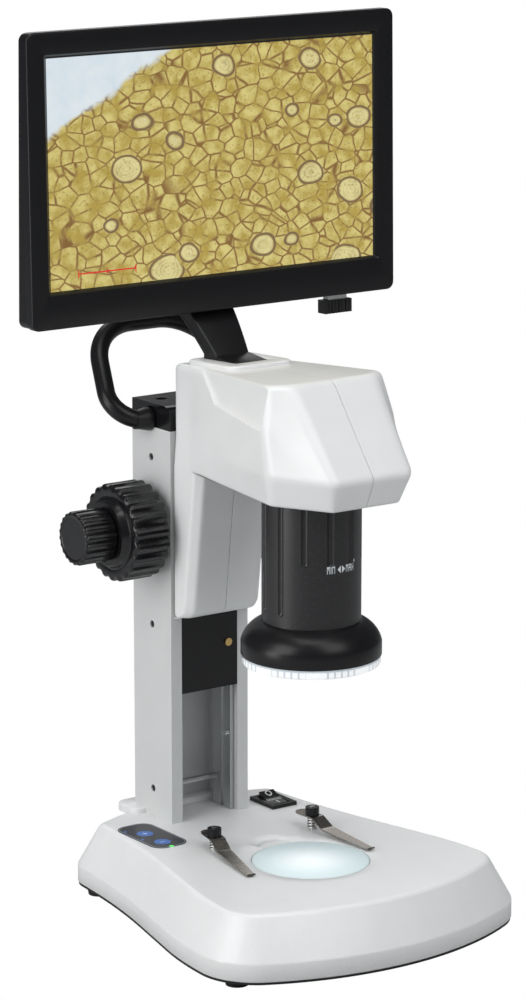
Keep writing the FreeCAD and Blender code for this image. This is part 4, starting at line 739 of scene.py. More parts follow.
@dataclass(frozen=True)
class CapFinish:
    """Black moulding with ribs for the fingertips."""

    pitch: float = 1.5
    depth: float = 0.35

    def build(self) -> Graph:
        """Builds the material.

        Returns:
            The material's graph.
        """
        graph = Graph("ribbed_black")
        graph.set(Base_Color=rgb(0.016, 0.016, 0.017), Roughness=0.4)
        graph.bump(graph.axes()[0].wave(2.0 * math.pi / self.pitch), self.depth)
        return graph


@dataclass(frozen=True)
class LampFinish:
    """A small lamp body that glows."""

    name: str
    colour: Colour
    strength: float

    def build(self) -> Graph:
        """Builds the material.

        Returns:
            The material's graph.
        """
        graph = Graph(self.name)
        graph.set(Base_Color=self.colour, Roughness=0.2 + graph.noise(1.0) * 0.05, Emission_Color=self.colour,
                  Emission_Strength=self.strength)
        return graph


@dataclass(frozen=True)
class LensFinish:
    """Dark coated glass of the objective."""

    glass: Colour = rgb(0.01, 0.012, 0.03)

    def build(self) -> Graph:
        """Builds the material.

        Returns:
            The material's graph.
        """
        graph = Graph("lens_coated")
        graph.set(Base_Color=self.glass, Roughness=0.04 + graph.noise(2.0) * 0.01, Coat_Weight=1.0)
        return graph


MARKED = (
    BarrelFinish(), ZoomFinish(), RockerFinish(), FilmFinish(), ScreenFinish(), StageFinish(), RingFinish(),
    CapFinish(), LensFinish(), LampFinish("lamp_white", rgb(1.0, 1.0, 0.97), 2.0),
    LampFinish("lamp_red", rgb(0.35, 0.03, 0.03), 0.1),
)


def all_materials() -> dict[str, bpy.types.Material]:
    """Builds every material once and returns them by name."""
    graphs = [finish.build() for finish in (*MARKED, *FINISHES)]
    return {graph.name: graph.material for graph in graphs}


# Outlines, all in millimetres


def unit(vector: np.ndarray) -> np.ndarray:
    """The vector at length one."""
    return vector / max(float(np.hypot(*vector)), 1e-9)


def rounded(corners: Sequence[tuple[float, float, float]], steps: int = 8, closed: bool = True) -> np.ndarray:
    """A polyline whose corners are arcs.

    Args:
        corners: (x, y, radius) of each corner.
        steps: Steps in each arc.
        closed: Whether the last corner leads back to the first.

    Returns:
        Points as rows.
    """
    points = np.array([corner[:2] for corner in corners], float)
    count = len(points)
    out = []
    for index, (_, _, radius) in enumerate(corners):
        here = points[index]
        if radius <= 0 or (not closed and index in (0, count - 1)):
            out.append(here)
            continue
        came, goes = unit(here - points[index - 1]), unit(points[(index + 1) % count] - here)
        turn = math.atan2(came[0] * goes[1] - came[1] * goes[0], float(came @ goes))
        start = here - came * radius * math.tan(abs(turn) / 2)
        centre = start + np.array([-came[1], came[0]]) * math.copysign(radius, turn)
        spoke = start - centre
        for step in range(steps + 1):
            a = turn * step / steps
            out.append(centre + np.array([spoke[0] * math.cos(a) - spoke[1] * math.sin(a),
                                          spoke[0] * math.sin(a) + spoke[1] * math.cos(a)]))
    return np.array(out)


def resampled(ring: np.ndarray, count: int) -> np.ndarray:
    """A closed ring with evenly spaced points.

    Args:
        ring: Points of the ring.
        count: How many points it gets.

    Returns:
        Points at equal steps of the length run along the ring.
    """
    loop = np.vstack([ring, ring[:1]])
    run = np.concatenate([[0.0], np.cumsum(np.hypot(*np.diff(loop, axis=0).T))])
    at = np.linspace(0.0, run[-1], count, endpoint=False)
    return np.column_stack([np.interp(at, run, loop[:, axis]) for axis in range(2)])


def inset(ring: np.ndarray, amount: float | np.ndarray) -> np.ndarray:
    """A closed anticlockwise ring moved inwards by an amount, the same everywhere or one for each point.

    Args:
        ring: Points of the ring.
        amount: Distance, positive inwards.

    Returns:
        Each point moved along the sum of its two edges' normals, so that both edges move by the amount.
    """
    if not np.any(amount):
        return ring
    edges = np.roll(ring, -1, axis=0) - ring
    lengths = np.maximum(np.hypot(edges[:, 0], edges[:, 1]), 1e-9)
    after = np.column_stack([-edges[:, 1], edges[:, 0]]) / lengths[:, None]
    before = np.roll(after, 1, axis=0)
    middle = after + before
    share = np.maximum((middle * after).sum(axis=1), 0.5)
    return ring + middle / share[:, None] * np.broadcast_to(amount, len(ring))[:, None]


def rectangle(x_low: float, x_high: float, y_low: float, y_high: float, radius: float,
              steps: int = 6) -> np.ndarray:
    """An anticlockwise rounded rectangle."""
    return rounded([(x_low, y_low, radius), (x_high, y_low, radius), (x_high, y_high, radius),
                    (x_low, y_high, radius)], steps)


def arc(first: tuple[float, float], middle: tuple[float, float], last: tuple[float, float],
        steps: int = 14) -> np.ndarray:
    """Points on the circle through three points, from the first to the last.

    Args:
        first: Start.
        middle: A point on the way.
        last: End.
        steps: Number of steps.

    Returns:
        Points round the centre of the circle about the three points, by equal angles.
    """
    (ax, ay), (bx, by), (cx, cy) = first, middle, last
    d = 2 * (ax * (by - cy) + bx * (cy - ay) + cx * (ay - by))
    sa, sb, sc = ax * ax + ay * ay, bx * bx + by * by, cx * cx + cy * cy
    centre = np.array([(sa * (by - cy) + sb * (cy - ay) + sc * (ay - by)) / d,
                       (sa * (cx - bx) + sb * (ax - cx) + sc * (bx - ax)) / d])
    radius = math.hypot(ax - centre[0], ay - centre[1])
    start, via, end = (math.atan2(p[1] - centre[1], p[0] - centre[0]) for p in (first, middle, last))
    sweep = (end - start) % FULL_TURN
    if (via - start) % FULL_TURN > sweep:
        sweep -= FULL_TURN
    angles = start + sweep * np.linspace(0.0, 1.0, steps + 1)
    return centre + radius * np.column_stack([np.cos(angles), np.sin(angles)])


def drawn_in(radius: float, rise: float) -> float:
    """How far a quarter round of a radius is drawn in at a rise above its start."""
    return radius - math.sqrt(radius**2 - max(radius - rise, 0.0) ** 2)


def level(z: float) -> Callable[[np.ndarray], np.ndarray]:
    """A height for each point that is the same everywhere."""
    return lambda y: np.full_like(y, z)


def soft_ends(low: float, high: float, low_round: float, high_round: float, steps: int = 4) -> list[Level]:
    """Levels (height, inset) of a block with rounded lower and upper edges.

    Args:
        low: Lower end.
        high: Upper end.
        low_round: Radius of the lower edge.
        high_round: Radius of the upper edge.
        steps: Steps in each rounding.

    Returns:
        Levels from the lower end to the upper one, along a quarter circle at each.
    """
    quarter = [math.pi / 2 * step / steps for step in range(steps + 1)]
    shares = [(1 - math.cos(a), 1 - math.sin(a)) for a in quarter]
    rising = [(low + low_round * up, low_round * across) for up, across in shares]
    falling = [(high - high_round * up, high_round * across) for up, across in reversed(shares)]
    return rising + falling


# Surfaces


@dataclass
class Skin:
    """Collects grids of points in millimetres into one closed mesh."""

    points: list[np.ndarray] = field(default_factory=list)
    faces: list[tuple[int, ...]] = field(default_factory=list)
    slots: list[int] = field(default_factory=list)
    count: int = 0

    def _keep(self, points: np.ndarray) -> int:
        """Stores points and returns the number of the first.

        Args:
            points: Points as rows.

        Returns:
            The number of the first.
        """
        start = self.count
        self.points.append(points)
        self.count += len(points)
        return start

    def grid(self, rows: np.ndarray, slot: Callable[[int], int] | int = 0, loop: bool = True,
             turn: bool = False) -> "Skin":
        """Joins rows of points.

        Args:
            rows: Array of rows, points and three coordinates.
            slot: Material index, or a function from a row's number to it.
            loop: Whether each row closes on itself.
            turn: Whether the last row joins the first one.

        Returns:
            The skin itself.
        """
        count, across = rows.shape[:2]
        start = self._keep(rows.reshape(-1, 3))
        here = np.arange(across if loop else across - 1)
        beside = (here + 1) % across
        for row in range(count if turn else count - 1):
            low, high = start + row * across, start + (row + 1) % count * across
            quads = np.column_stack([low + here, low + beside, high + beside, high + here])
            self.faces.extend(map(tuple, quads.tolist()))
            self.slots.extend([slot(row) if callable(slot) else slot] * len(quads))
        return self

    def sheet(self, ring: np.ndarray, slot: int = 0) -> "Skin":
        """Adds one flat face bounded by a ring.

        Args:
            ring: The face's corners in order.
            slot: Material index.

        Returns:
            The skin itself.
        """
        start = self._keep(ring)
        self.faces.append(tuple(range(start, start + len(ring))))
        self.slots.append(slot)
        return self

    def block(self, ring: np.ndarray, levels: Sequence[Level],
              lift: Callable[[np.ndarray, float], np.ndarray]) -> "Skin":
        """A solid between two ends with an outline and an inset at each level.

        Args:
            ring: Flat anticlockwise outline.
            levels: (height, inset) from one end to the other.
            lift: Puts a flat ring at a height into space.

        Returns:
            The skin itself.
        """
        rows = np.array([lift(inset(ring, amount), height) for height, amount in levels])
        self.grid(rows)
        self.sheet(rows[0][::-1])
        return self.sheet(rows[-1])

    def build(self, name: str, materials: Sequence[bpy.types.Material], crease: float) -> bpy.types.Object:
        """Makes the object with its faces outwards.

        Args:
            name: Name of the piece.
            materials: Its materials in slot order.
            crease: Edges sharper than this many degrees stay crisp.

        Returns:
            The object, at the origin.
        """
        mesh = bpy.data.meshes.new(name)
        mesh.from_pydata(np.concatenate(self.points) * MM, [], self.faces)
        mesh.polygons.foreach_set("material_index", np.array(self.slots, np.int32))
        work = bmesh.new()
        work.from_mesh(mesh)
        bmesh.ops.remove_doubles(work, verts=work.verts, dist=3e-6)
        bmesh.ops.dissolve_degenerate(work, edges=work.edges, dist=1e-7)
        bmesh.ops.recalc_face_normals(work, faces=work.faces)
        work.to_mesh(mesh)
        work.free()
        for material in materials:
            mesh.materials.append(material)
        mesh.shade_smooth()
        mesh.set_sharp_from_angle(angle=math.radians(crease))
        piece = bpy.data.objects.new(name, mesh)
        bpy.context.scene.collection.objects.link(piece)
        LOG.info("%s: %d faces", name, len(mesh.polygons))
        return piece


def upright(ring: np.ndarray, height: float) -> np.ndarray:
    """A plan at a height."""
    return np.column_stack([ring, np.full(len(ring), height)])


def sideways(ring: np.ndarray, x: float) -> np.ndarray:
    """A side profile (y, z) at an x."""
    return np.column_stack([np.full(len(ring), x), ring])


def circle(count: int) -> np.ndarray:
    """Evenly spaced angles of a full turn."""
    return np.linspace(0.0, FULL_TURN, count, endpoint=False)


def turned(profile: Sequence[tuple[float, float]], segments: int = 180) -> np.ndarray:
    """Rows of a round piece about the optical axis from (radius, z).

    Args:
        profile: (radius, z) along the profile.
        segments: Points round each row.

    Returns:
        One circle of that radius at that height for each point of the profile.
    """
    angles = circle(segments)
    return np.array([np.column_stack([radius * np.cos(angles), OPTIC_Y + radius * np.sin(angles),
                                      np.full(segments, z)]) for radius, z in profile])


@dataclass
class Scene:
    """The frame, the materials and what is dressed so far."""

    nodes: dict[str, bpy.types.Object]
    materials: dict[str, bpy.types.Material]

    def dress(self, skin: Skin, name: str, body: Body, finishes: Sequence[str],
              crease: float = 32.0) -> bpy.types.Object:
        """Puts a new surface in the place of the frame's node of the same name.

        Args:
            skin: The surface.
            name: Name of the node it stands for.
            body: The body it moves with.
            finishes: Names of its materials.
            crease: Edges sharper than this stay crisp.

        Returns:
            The new piece.
        """
        piece = skin.build(name + ".look", [self.materials[finish] for finish in finishes], crease)
        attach(piece, body.value)
        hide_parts(name)
        return piece


# Sub-assemblies


@dataclass
class Base:
    """Housing with a recess for the stage plate, and the plate.

    Attributes:
        front: Foremost point of the housing's plan.
        rear: Rearmost corner of the plan.
        low: Height of the housing's lower edge.
        belt: Height at which the upright skirt ends and the slope begins.
        lean: How far the slope leans in.
        recess: Radius of the recess for the plate.
        recess_depth: Depth of the recess.
        notch: Radius of the thumb notch.
        notch_reach: Distance of the notch's centre from the plate's.
        notch_depth: Depth of the notch.
        plate: Radius and thickness of the plate.
        boss: The boss behind the column, as x and y ranges.
        points: Points along the plan.
    """

    front: float = -119.0
    rear: float = 102.0
    low: float = 6.2
    belt: float = 15.5
    lean: float = 12.0
    recess: float = 30.3
    recess_depth: float = 3.1
    notch: float = 9.0
    notch_reach: float = 30.0
    notch_depth: float = 1.6
    plate: tuple[float, float] = (30.0, 3.0)
    boss: tuple[float, float, float, float] = (-31.0, 31.0, 78.8, 98.0)
    points: int = 720

    def outline(self) -> np.ndarray:
        """The housing's plan.

        Returns:
            A round front and rear joined by sides that draw in towards the rear, all as arcs.
        """
        front, rear = self.front, self.rear
        right = [(93.4, front + 27.5, 32.0), (91.0, front + 69.0, 200.0), (70.0, front + 157.0, 460.0),
                 (66.0, rear - 16.5, 16.0)]
        left = [(-x, y, radius) for x, y, radius in reversed(right)]
        corners = [(0.0, front - 20.4, 164.0), *right, (0.0, rear + 10.7, 132.0), *left]
        return resampled(rounded(corners, 24), self.points)

    def mouth(self, towards: np.ndarray) -> np.ndarray:
        """Distance from the stage's centre to the recess edge in each direction, with the thumb notch.

        Args:
            towards: Points of the plan that the directions lead to.

        Returns:
            The greater of the recess's radius and the far side of the notch's circle.
        """
        offset = towards - np.array([0.0, OPTIC_Y])
        angle = np.arctan2(offset[:, 0], offset[:, 1])
        across, ahead = self.notch_reach * np.sin(angle), self.notch_reach * np.cos(angle)
        inside = np.maximum(self.notch**2 - across**2, 0.0)
        reach = np.where((inside > 0) & (ahead > 0), ahead + np.sqrt(inside), 0.0)
        return np.maximum(reach, self.recess)

    def housing(self) -> Skin:
        """Skirt, slopes, top with the recess, and the boss behind the column.

        Returns:
            The skin: the plan drawn in up the side, then drawn along straight spokes to the mouth round
            the plate, and down into the recess.
        """
        ring = self.outline()
        side = rounded([(0.5, self.low, 0.0), (0.0, self.low + 0.5, 0.0), (0.0, self.belt, 3.0),
                        (self.lean, BASE_TOP, 3.6), (self.lean + 2.3, BASE_TOP, 0.0)], 7, closed=False)
        rows = [upright(inset(ring, amount), height) for amount, height in side]
        edge = rows[-1][:, :2]
        centre = np.array([0.0, OPTIC_Y])
        spokes = edge - centre
        length = np.hypot(spokes[:, 0], spokes[:, 1])
        along = spokes / length[:, None]
        mouth = self.mouth(edge)
        for share in (0.12, 0.3, 0.5, 0.7, 0.88):
            reach = length + (mouth + 0.4 - length) * share
            rows.append(upright(centre + along * reach[:, None], BASE_TOP))
        for grow, drop in ((0.4, 0.0), (0.12, 0.12), (0.0, 0.4), (0.0, self.notch_depth)):
            rows.append(upright(centre + along * (mouth + grow)[:, None], BASE_TOP - drop))
        for drop in (self.notch_depth, self.recess_depth):
            rows.append(upright(centre + along * self.recess, BASE_TOP - drop))
        pebbled = sum(1 for _, height in side if height < BASE_TOP - 1.0)
        skin = Skin().grid(np.array(rows), lambda row: 1 if row < pebbled else 0)
        skin.sheet(rows[-1])
        skin.sheet(rows[0][::-1], 1)
        boss = rectangle(*self.boss, 5.0)
        return skin.block(boss, soft_ends(BASE_TOP - 1.5, BASE_TOP + 3.0, 0.2, 1.3), upright)

    def stage(self) -> Skin:
        """The frosted plate, flush with the housing's top.

        Returns:
            The skin.
        """
        radius, high = self.plate[0], BASE_TOP
        low = high - self.plate[1]
        return Skin().grid(turned([(0.0, low), (radius - 0.3, low), (radius, low + 0.3), (radius, high - 0.5),
                                   (radius - 0.15, high - 0.15), (radius - 0.5, high), (0.0, high)]))

    def build(self, scene: Scene) -> None:
        """Adds the base's pieces.

        Args:
            scene: Where they go.
        """
        scene.dress(self.housing(), "base_housing", Body.BASE,
                    ("white_satin", "white_pebbled"), 50.0)
        scene.dress(self.stage(), "stage_plate", Body.STAGE, ("stage_frosted",))


@dataclass
class Head:
    """Two mirrored shells: the neck in front of the column and the wide head above it.

    Attributes:
        rear: y of the shells' back.
        half: Half width of the neck and of the head's back.
        flare: y at which the head starts to widen.
        low: Height of the neck's lower end.
        under: Height of the head's underside.
        belt: Height of the head's widest line.
        seam: Half the gap between the shells.
        lip: Width and depth of the step beside the seam.
        crown: Rounding of the top's edge.
        under_edge: Rounding of the head's lower edge.
        edge_fade: Number of points over which that rounding sets in, ahead of the neck.
        top_rear: y and height of the top's back.
        top_slope: The top's rise towards the front.
        collar: Outer and inner (x low, x high, y low, y high, corner radius) of the collar.
        neck_front: y of the neck's front at its lower end.
        neck_slope: How far the neck's front comes forward up to the belt.
        neck_corner: Slant of the neck's front corners.
        toe: Rounding of the neck's lower front edge.
        heel: Rounding of its lower back edge.
        neck_edge: Rounding of the neck's lower edge all round.
        neck_round: Reach of the corner rounding on the neck.
        head_round: Reach of the corner rounding on the head.
        neck_rises: Heights of the neck's rows above its lower end.
        brow_heights: Heights of the rows between underside and belt.
        heights: Heights of the head's sections.
        side_x: Half width at the widest corner in each section.
        side_y: y of that corner.
        front_x: Half width of the front face in each section.
        front_y: y of the front face.
        pocket_corners: Outline (y, z) of the shallow recess in the upper side.
        pocket_middle: A point inside that outline.
        pocket_floor: A y, the half width of the recess's floor there, and its widening forwards.
        pocket_edge: Width of the recess's soft edge.
        counts: Points along each part of a half row.
    """

    rear: float = 52.4
    half: float = 23.4
    flare: float = 36.5
    low: float = 149.0
    under: float = 228.5
    belt: float = 244.0
    seam: float = 0.1
    lip: tuple[float, float] = (0.45, 0.4)
    crown: float = 2.8
    under_edge: float = 1.6
    edge_fade: float = 14.0
    top_rear: tuple[float, float] = (49.4, 282.5)
    top_slope: float = 5.5 / 101.4
    collar: tuple[tuple[float, float, float, float, float], ...] = (
        (-19.4, 19.4, 5.5, 47.5, 6.0), (-10.3, 10.3, 15.1, 44.9, 1.0))
    neck_front: float = 39.9
    neck_slope: float = 12.0
    neck_corner: float = 4.0
    toe: float = 7.0
    heel: float = 3.0
    neck_edge: float = 1.2
    neck_round: float = 1.3
    head_round: float = 4.0
    neck_rises: tuple[float, ...] = (0.0, 0.25, 0.7, 1.4, 2.4, 3.6, 5.2, 7.0, 12.0, 25.0, 40.0, 55.0, 68.0,
                                     76.0, 79.5)
    brow_heights: tuple[float, ...] = (231.5, 233.0, 235.0, 237.0, 240.5, 241.5, 242.2, 242.9, 243.5)
    heights: tuple[float, ...] = (228.5, 244.0, 267.0, 291.0)
    side_x: tuple[float, ...] = (36.3, 40.4, 40.0, 35.0)
    side_y: tuple[float, ...] = (-50.5, -53.5, -49.5, -45.5)
    front_x: tuple[float, ...] = (20.0, 24.0, 24.7, 25.4)
    front_y: tuple[float, ...] = (-80.5, -87.0, -69.0, -50.5)
    pocket_corners: tuple[tuple[float, float], ...] = (
        (25.5, 300.0), (25.5, 285.0), (7.5, 269.0), (-49.5, 265.5), (-54.5, 271.0), (-47.0, 288.0),
        (-47.0, 300.0))
    pocket_middle: tuple[float, float] = (0.0, 280.0)
    pocket_floor: tuple[float, float, float] = (34.5, 22.4, 12.8 / 84.0)
    pocket_edge: float = 0.9
    counts: tuple[int, ...] = (16, 12, 120, 36, 20)

    def top(self, y: np.ndarray) -> np.ndarray:
        """Height of the sloping top."""
        return self.top_rear[1] + (self.top_rear[0] - y) * self.top_slope

    def laid(self, ring: np.ndarray, rise: float) -> np.ndarray:
        """A plan laid on the sloping top, at a rise above it."""
        return np.column_stack([ring, self.top(ring[:, 1]) + rise])

    def blend(self, z: np.ndarray, table: tuple[float, ...]) -> np.ndarray:
        """A section value at a height, softened over a few millimetres.

        Args:
            z: Heights.
            table: The value in each section.

        Returns:
            The mean of the table read at seven heights about each height.
        """
        steps = np.linspace(-2.2, 2.2, 7)
        values = [np.interp(np.maximum(z + step, self.under), self.heights, table) for step in steps]
        return np.mean(values, axis=0)

    def spread(self, corners: list[tuple]) -> np.ndarray:
        """Points along a half ring given corners whose coordinates are numbers or one value per point.

        Args:
            corners: (x, y) of each corner.

        Returns:
            Points at equal steps along each straight part between two corners.
        """
        total = sum(self.counts) + 1
        segment = np.append(np.repeat(np.arange(len(self.counts)), self.counts), len(self.counts) - 1)
        share = np.concatenate([np.arange(n) / n for n in self.counts] + [[1.0]])
        table = np.array([[np.broadcast_to(value, total) for value in corner] for corner in corners])
        index = np.arange(total)
        start, end = table[segment, :, index], table[segment + 1, :, index]
        return start + (end - start) * share[:, None]

    def head_half(self, z: np.ndarray | float) -> np.ndarray:
        """Half outline of the head, rear to front, at a height for each point.

        Args:
            z: The heights.

        Returns:
            The half outline.
        """
        side = (self.blend(z, self.side_x), self.blend(z, self.side_y))
        nose = (self.blend(z, self.front_x), self.blend(z, self.front_y))
        return self.spread([(0.0, self.rear), (self.half, self.rear), (self.half, self.flare), side, nose,
                            (0.0, nose[1])])

    def neck_half(self, z: float) -> np.ndarray:
        """Half outline of the neck at a height.

        Args:
            z: The height.

        Returns:
            The half outline.
        """
        rise = z - self.low
        front = self.neck_front - self.neck_slope * rise / (self.belt - self.low) + drawn_in(self.toe, rise)
        rear = self.rear - drawn_in(self.heel, rise)
        shoulder = front + self.neck_corner
        return self.spread([(0.0, rear), (self.half, rear), (self.half, max(self.flare, shoulder + 0.6)),
                            (self.half, shoulder), (self.half - self.neck_corner, front), (0.0, front)])

    def softened(self, half: np.ndarray, window: float) -> np.ndarray:
        """The half ring with its corners rounded by averaging along the full ring.

        Args:
            half: The half ring.
            window: How far along the ring the average reaches.

        Returns:
            The full ring, each point the mean of nine points about its place along the ring.
        """
        ring = np.vstack([half, half[-2:0:-1] * (-1.0, 1.0)])
        loop = np.vstack([ring, ring[:1]])
        run = np.concatenate([[0.0], np.cumsum(np.hypot(*np.diff(loop, axis=0).T))])
        out = np.zeros_like(ring)
        steps = np.linspace(-window, window, 9)
        for step in steps:
            at = (run[:-1] + step) % run[-1]
            out += np.column_stack([np.interp(at, run, loop[:, axis]) for axis in range(2)])
        return out / len(steps)

    def pocket(self, points: np.ndarray) -> np.ndarray:
        """Sinks the shallow recess into the upper side.

        A point's depth inside the outline is its least distance from the outline's edges. Over the soft
        edge a smooth step of that depth draws the point in to the recess's flat floor.

        Args:
            points: Points of the right half.

        Returns:
            The points with the recess.
        """
        corners = np.array(self.pocket_corners)
        edges = np.roll(corners, -1, axis=0) - corners
        normals = np.column_stack([-edges[:, 1], edges[:, 0]]) / np.hypot(edges[:, 0], edges[:, 1])[:, None]
        spots = points[:, 1:]
        away = np.array([(spots - corner) @ normal for corner, normal in zip(corners, normals)])
        middle = self.pocket_middle
        inside = np.array([(middle - corner) @ normal for corner, normal in zip(corners, normals)])
        depth = (away * np.sign(inside)[:, None]).min(axis=0)
        share = np.clip(depth / self.pocket_edge, 0.0, 1.0)
        share = share * share * (3 - 2 * share)
        start, half, slope = self.pocket_floor
        floor = half + (start - points[:, 1]) * slope
        sink = np.maximum(points[:, 0] - floor, 0.0) * share
        out = points.copy()
        out[:, 0] -= sink
        return out

    def row(self, half: np.ndarray, amount: float | np.ndarray, height: Callable[[np.ndarray], np.ndarray],
            window: float) -> np.ndarray:
        """One finished half row, its ends turned in at the seam.

        Args:
            half: Half outline from rear to front.
            amount: How far it is moved inwards.
            height: Height of each point from its y.
            window: Reach of the corner rounding.

        Returns:
            Points of the row.
        """
        count = len(half)
        ring = self.softened(half, window)
        ring = inset(ring[::-1], np.broadcast_to(amount, len(ring))[::-1])[::-1]
        flat = ring[:count]
        row = np.column_stack([flat, height(flat[:, 1])])
        row = self.pocket(row)
        row[[0, -1], 0] = self.lip[0]
        tail, nose = row[0].copy(), row[-1].copy()
        tail[0] = nose[0] = self.seam
        tail[1] -= self.lip[1]
        nose[1] += self.lip[1]
        return np.vstack([tail, row, nose])

    def rows(self) -> np.ndarray:
        """All rows from the neck's lower end to the head's top.

        Returns:
            Rows, points and three coordinates.
        """
        rows = []
        for rise in self.neck_rises:
            z = self.low + rise
            amount = drawn_in(self.neck_edge, rise)
            rows.append(self.row(self.neck_half(z), amount, level(z), self.neck_round))
        number = np.arange(sum(self.counts) + 1) - sum(self.counts[:2])
        ahead = np.clip(number / self.edge_fade, 0.0, 1.0)
        ahead = np.concatenate([ahead, ahead[-2:0:-1]])
        for z, amount in soft_ends(self.under, self.belt, self.under_edge, 0.0)[:5]:
            rows.append(self.row(self.head_half(z), amount * ahead, level(z), self.soft(z)))
        for z in self.brow_heights:
            rows.append(self.row(self.head_half(z), 0.0, level(z), self.soft(z)))
        shares = [np.linspace(0.0, 0.08, 6), np.linspace(0.1, 0.42, 12), np.linspace(0.435, 0.925, 40)]
        for share in np.concatenate(shares):
            rows.append(self.sloped(lambda y, s=share: self.belt + s * (self.top(y) - self.belt), 0.0))
        for angle in np.linspace(math.pi / 2, 0.0, 6):
            drop, amount = self.crown * (1 - math.cos(angle)), self.crown * (1 - math.sin(angle))
            rows.append(self.sloped(lambda y, d=drop: self.top(y) - d, amount))
        return np.array(rows)

    def sloped(self, height: Callable[[np.ndarray], np.ndarray], amount: float) -> np.ndarray:
        """A row whose height depends on y.

        Args:
            height: Height of each point from its y.
            amount: How far the row is moved inwards.

        Returns:
            The row, its outline read at the heights that its own points come to.
        """
        z = np.full(sum(self.counts) + 1, self.belt)
        for _ in range(4):
            z = height(self.head_half(z)[:, 1])
        return self.row(self.head_half(z), amount, height, self.head_round)

    def soft(self, z: float) -> float:
        """Reach of the corner rounding, growing from the neck's to the head's."""
        return float(np.interp(z, [self.under, self.belt], [self.neck_round, self.head_round]))

    def shell(self, side: int) -> Skin:
        """One closed half.

        Args:
            side: -1 for the left half, 1 for the right.

        Returns:
            The skin.
        """
        rows = self.rows()
        last = rows[-1]
        tail, nose = last[1].copy(), last[-2].copy()
        deep_tail, deep_nose = last[0].copy(), last[-1].copy()
        deep_tail[2] -= self.lip[1]
        deep_nose[2] -= self.lip[1]
        flip = np.array([float(side), 1.0, 1.0])
        skin = Skin().grid(rows * flip, loop=False)
        skin.sheet(rows[0] * flip)
        skin.sheet(last[1:-1] * flip)
        skin.sheet(np.array([tail, nose, last[-1], deep_nose, deep_tail, last[0]]) * flip)
        wall = np.vstack([rows[:, 0], [deep_tail, deep_nose], rows[::-1, -1]])
        return skin.sheet(wall * flip)

    def frame(self) -> Skin:
        """The raised collar round the arm's slot.

        Returns:
            The skin: an outer and an inner rounded rectangle that follow the sloping top.
        """
        outer, inner = (rectangle(*side, 8) for side in self.collar)
        up = ((-1.5, 0.0), *soft_ends(-0.5, 2.2, 0.0, 1.1)[5:])
        down = ((2.2, -0.7), (2.0, -0.2), (1.5, 0.0), (-4.0, 0.0), (-4.0, -1.5))
        rows = [self.laid(inset(outer, amount), rise) for rise, amount in up]
        rows += [self.laid(inset(inner, amount), rise) for rise, amount in down]
        return Skin().grid(np.array(rows), turn=True)

    def arm(self) -> Skin:
        """The curved strap with its foot and hinge barrel.

        Returns:
            The skin: three side profiles with a thickness, the strap's widening towards the hinge.
        """
        front = arc((31.7, 286.8), (40.9, 297.5), (52.5, 309.0))
        rear = arc((65.7, 309.0), (53.3, 297.0), (44.3, 286.8))
        profile = np.vstack([[(44.3, 283.0), (31.7, 283.0)], front, [(57.5, 321.0), (66.5, 321.0)], rear])
        foot_half, hinge_half, hinge_radius = 10.0, 13.6, 4.8

        def widened(ring: np.ndarray, side: float) -> np.ndarray:
            """A side profile whose half width grows from the foot's to the hinge's."""
            width = np.interp(ring[:, 1], [287.0, 307.0], [foot_half, hinge_half])
            return np.column_stack([side - math.copysign(hinge_half, side) + np.sign(side) * width, ring])

        foot = rounded([(15.5, 276.0, 0), (44.3, 276.0, 0), (44.3, 286.8, 0), (31.7, 287.8, 1.2),
                        (15.5, 286.2, 1.2)], 4)
        angles = circle(48)
        barrel = HINGE + hinge_radius * np.column_stack([np.cos(angles), np.sin(angles)])
        skin = Skin().block(profile[::-1], soft_ends(-hinge_half, hinge_half, 0.9, 0.9), widened)
        skin.block(foot, soft_ends(-foot_half, foot_half, 0.6, 0.6), sideways)
        return skin.block(barrel, soft_ends(-hinge_half, hinge_half, 0.4, 0.4), sideways)

    def build(self, scene: Scene) -> None:
        """Adds the head's pieces.

        Args:
            scene: Where they go.
        """
        scene.dress(self.shell(-1), "head_shell_left", Body.HEAD, ("white_satin",), 40.0)
        scene.dress(self.shell(1), "head_shell_right", Body.HEAD, ("white_satin",), 40.0)
        scene.dress(self.frame(), "arm_collar", Body.HEAD, ("white_satin",))
        scene.dress(self.arm(), "monitor_arm", Body.HEAD, ("black_satin",))


@dataclass
class Optics:
    """Bell skirt and clear ring.

    Attributes:
        low: Height of the bell's lower edge.
        rim: Radius of the bell's rim.
        ring_height: Height of the clear ring.
    """

    low: float = 145.7
    rim: float = 35.5
    ring_height: float = 4.6

    def bell(self) -> Skin:
        """Upright rim with a rounded shoulder, hollow below.

        Returns:
            The skin.
        """
        low, rim = self.low, self.rim
        shoulder = arc((rim, low + 7.0), (rim - 3.4, low + 13.6), (25.3, low + 18.0))
        profile = [(rim - 0.5, low), (rim - 0.15, low + 0.15), (rim, low + 0.5), *map(tuple, shoulder),
                   (23.4, low + 18.0), (23.4, low + 10.0), (rim - 2.0, low + 5.0), (rim - 2.0, low)]
        return Skin().grid(turned(profile), turn=True)

    def ring(self) -> Skin:
        """The clear ring under the bell.

        Returns:
            The skin.
        """
        low, high, rim = self.low - self.ring_height, self.low - 0.05, self.rim - 0.6
        floor, top = low + 1.6, high + 4.0
        profile = [(rim - 1.0, low), (rim - 0.3, low + 0.3), (rim, low + 1.0), (rim, high), (rim - 2.0, high),
                   (rim - 2.0, floor), (21.0, floor), (21.0, top), (19.4, top), (19.4, low)]
        return Skin().grid(turned(profile), turn=True)

    def build(self, scene: Scene) -> None:
        """Adds the optics' pieces."""
        scene.dress(self.bell(), "bell_skirt", Body.HEAD, ("black_satin",))
        scene.dress(self.ring(), "light_ring", Body.HEAD, ("ring_clear",))


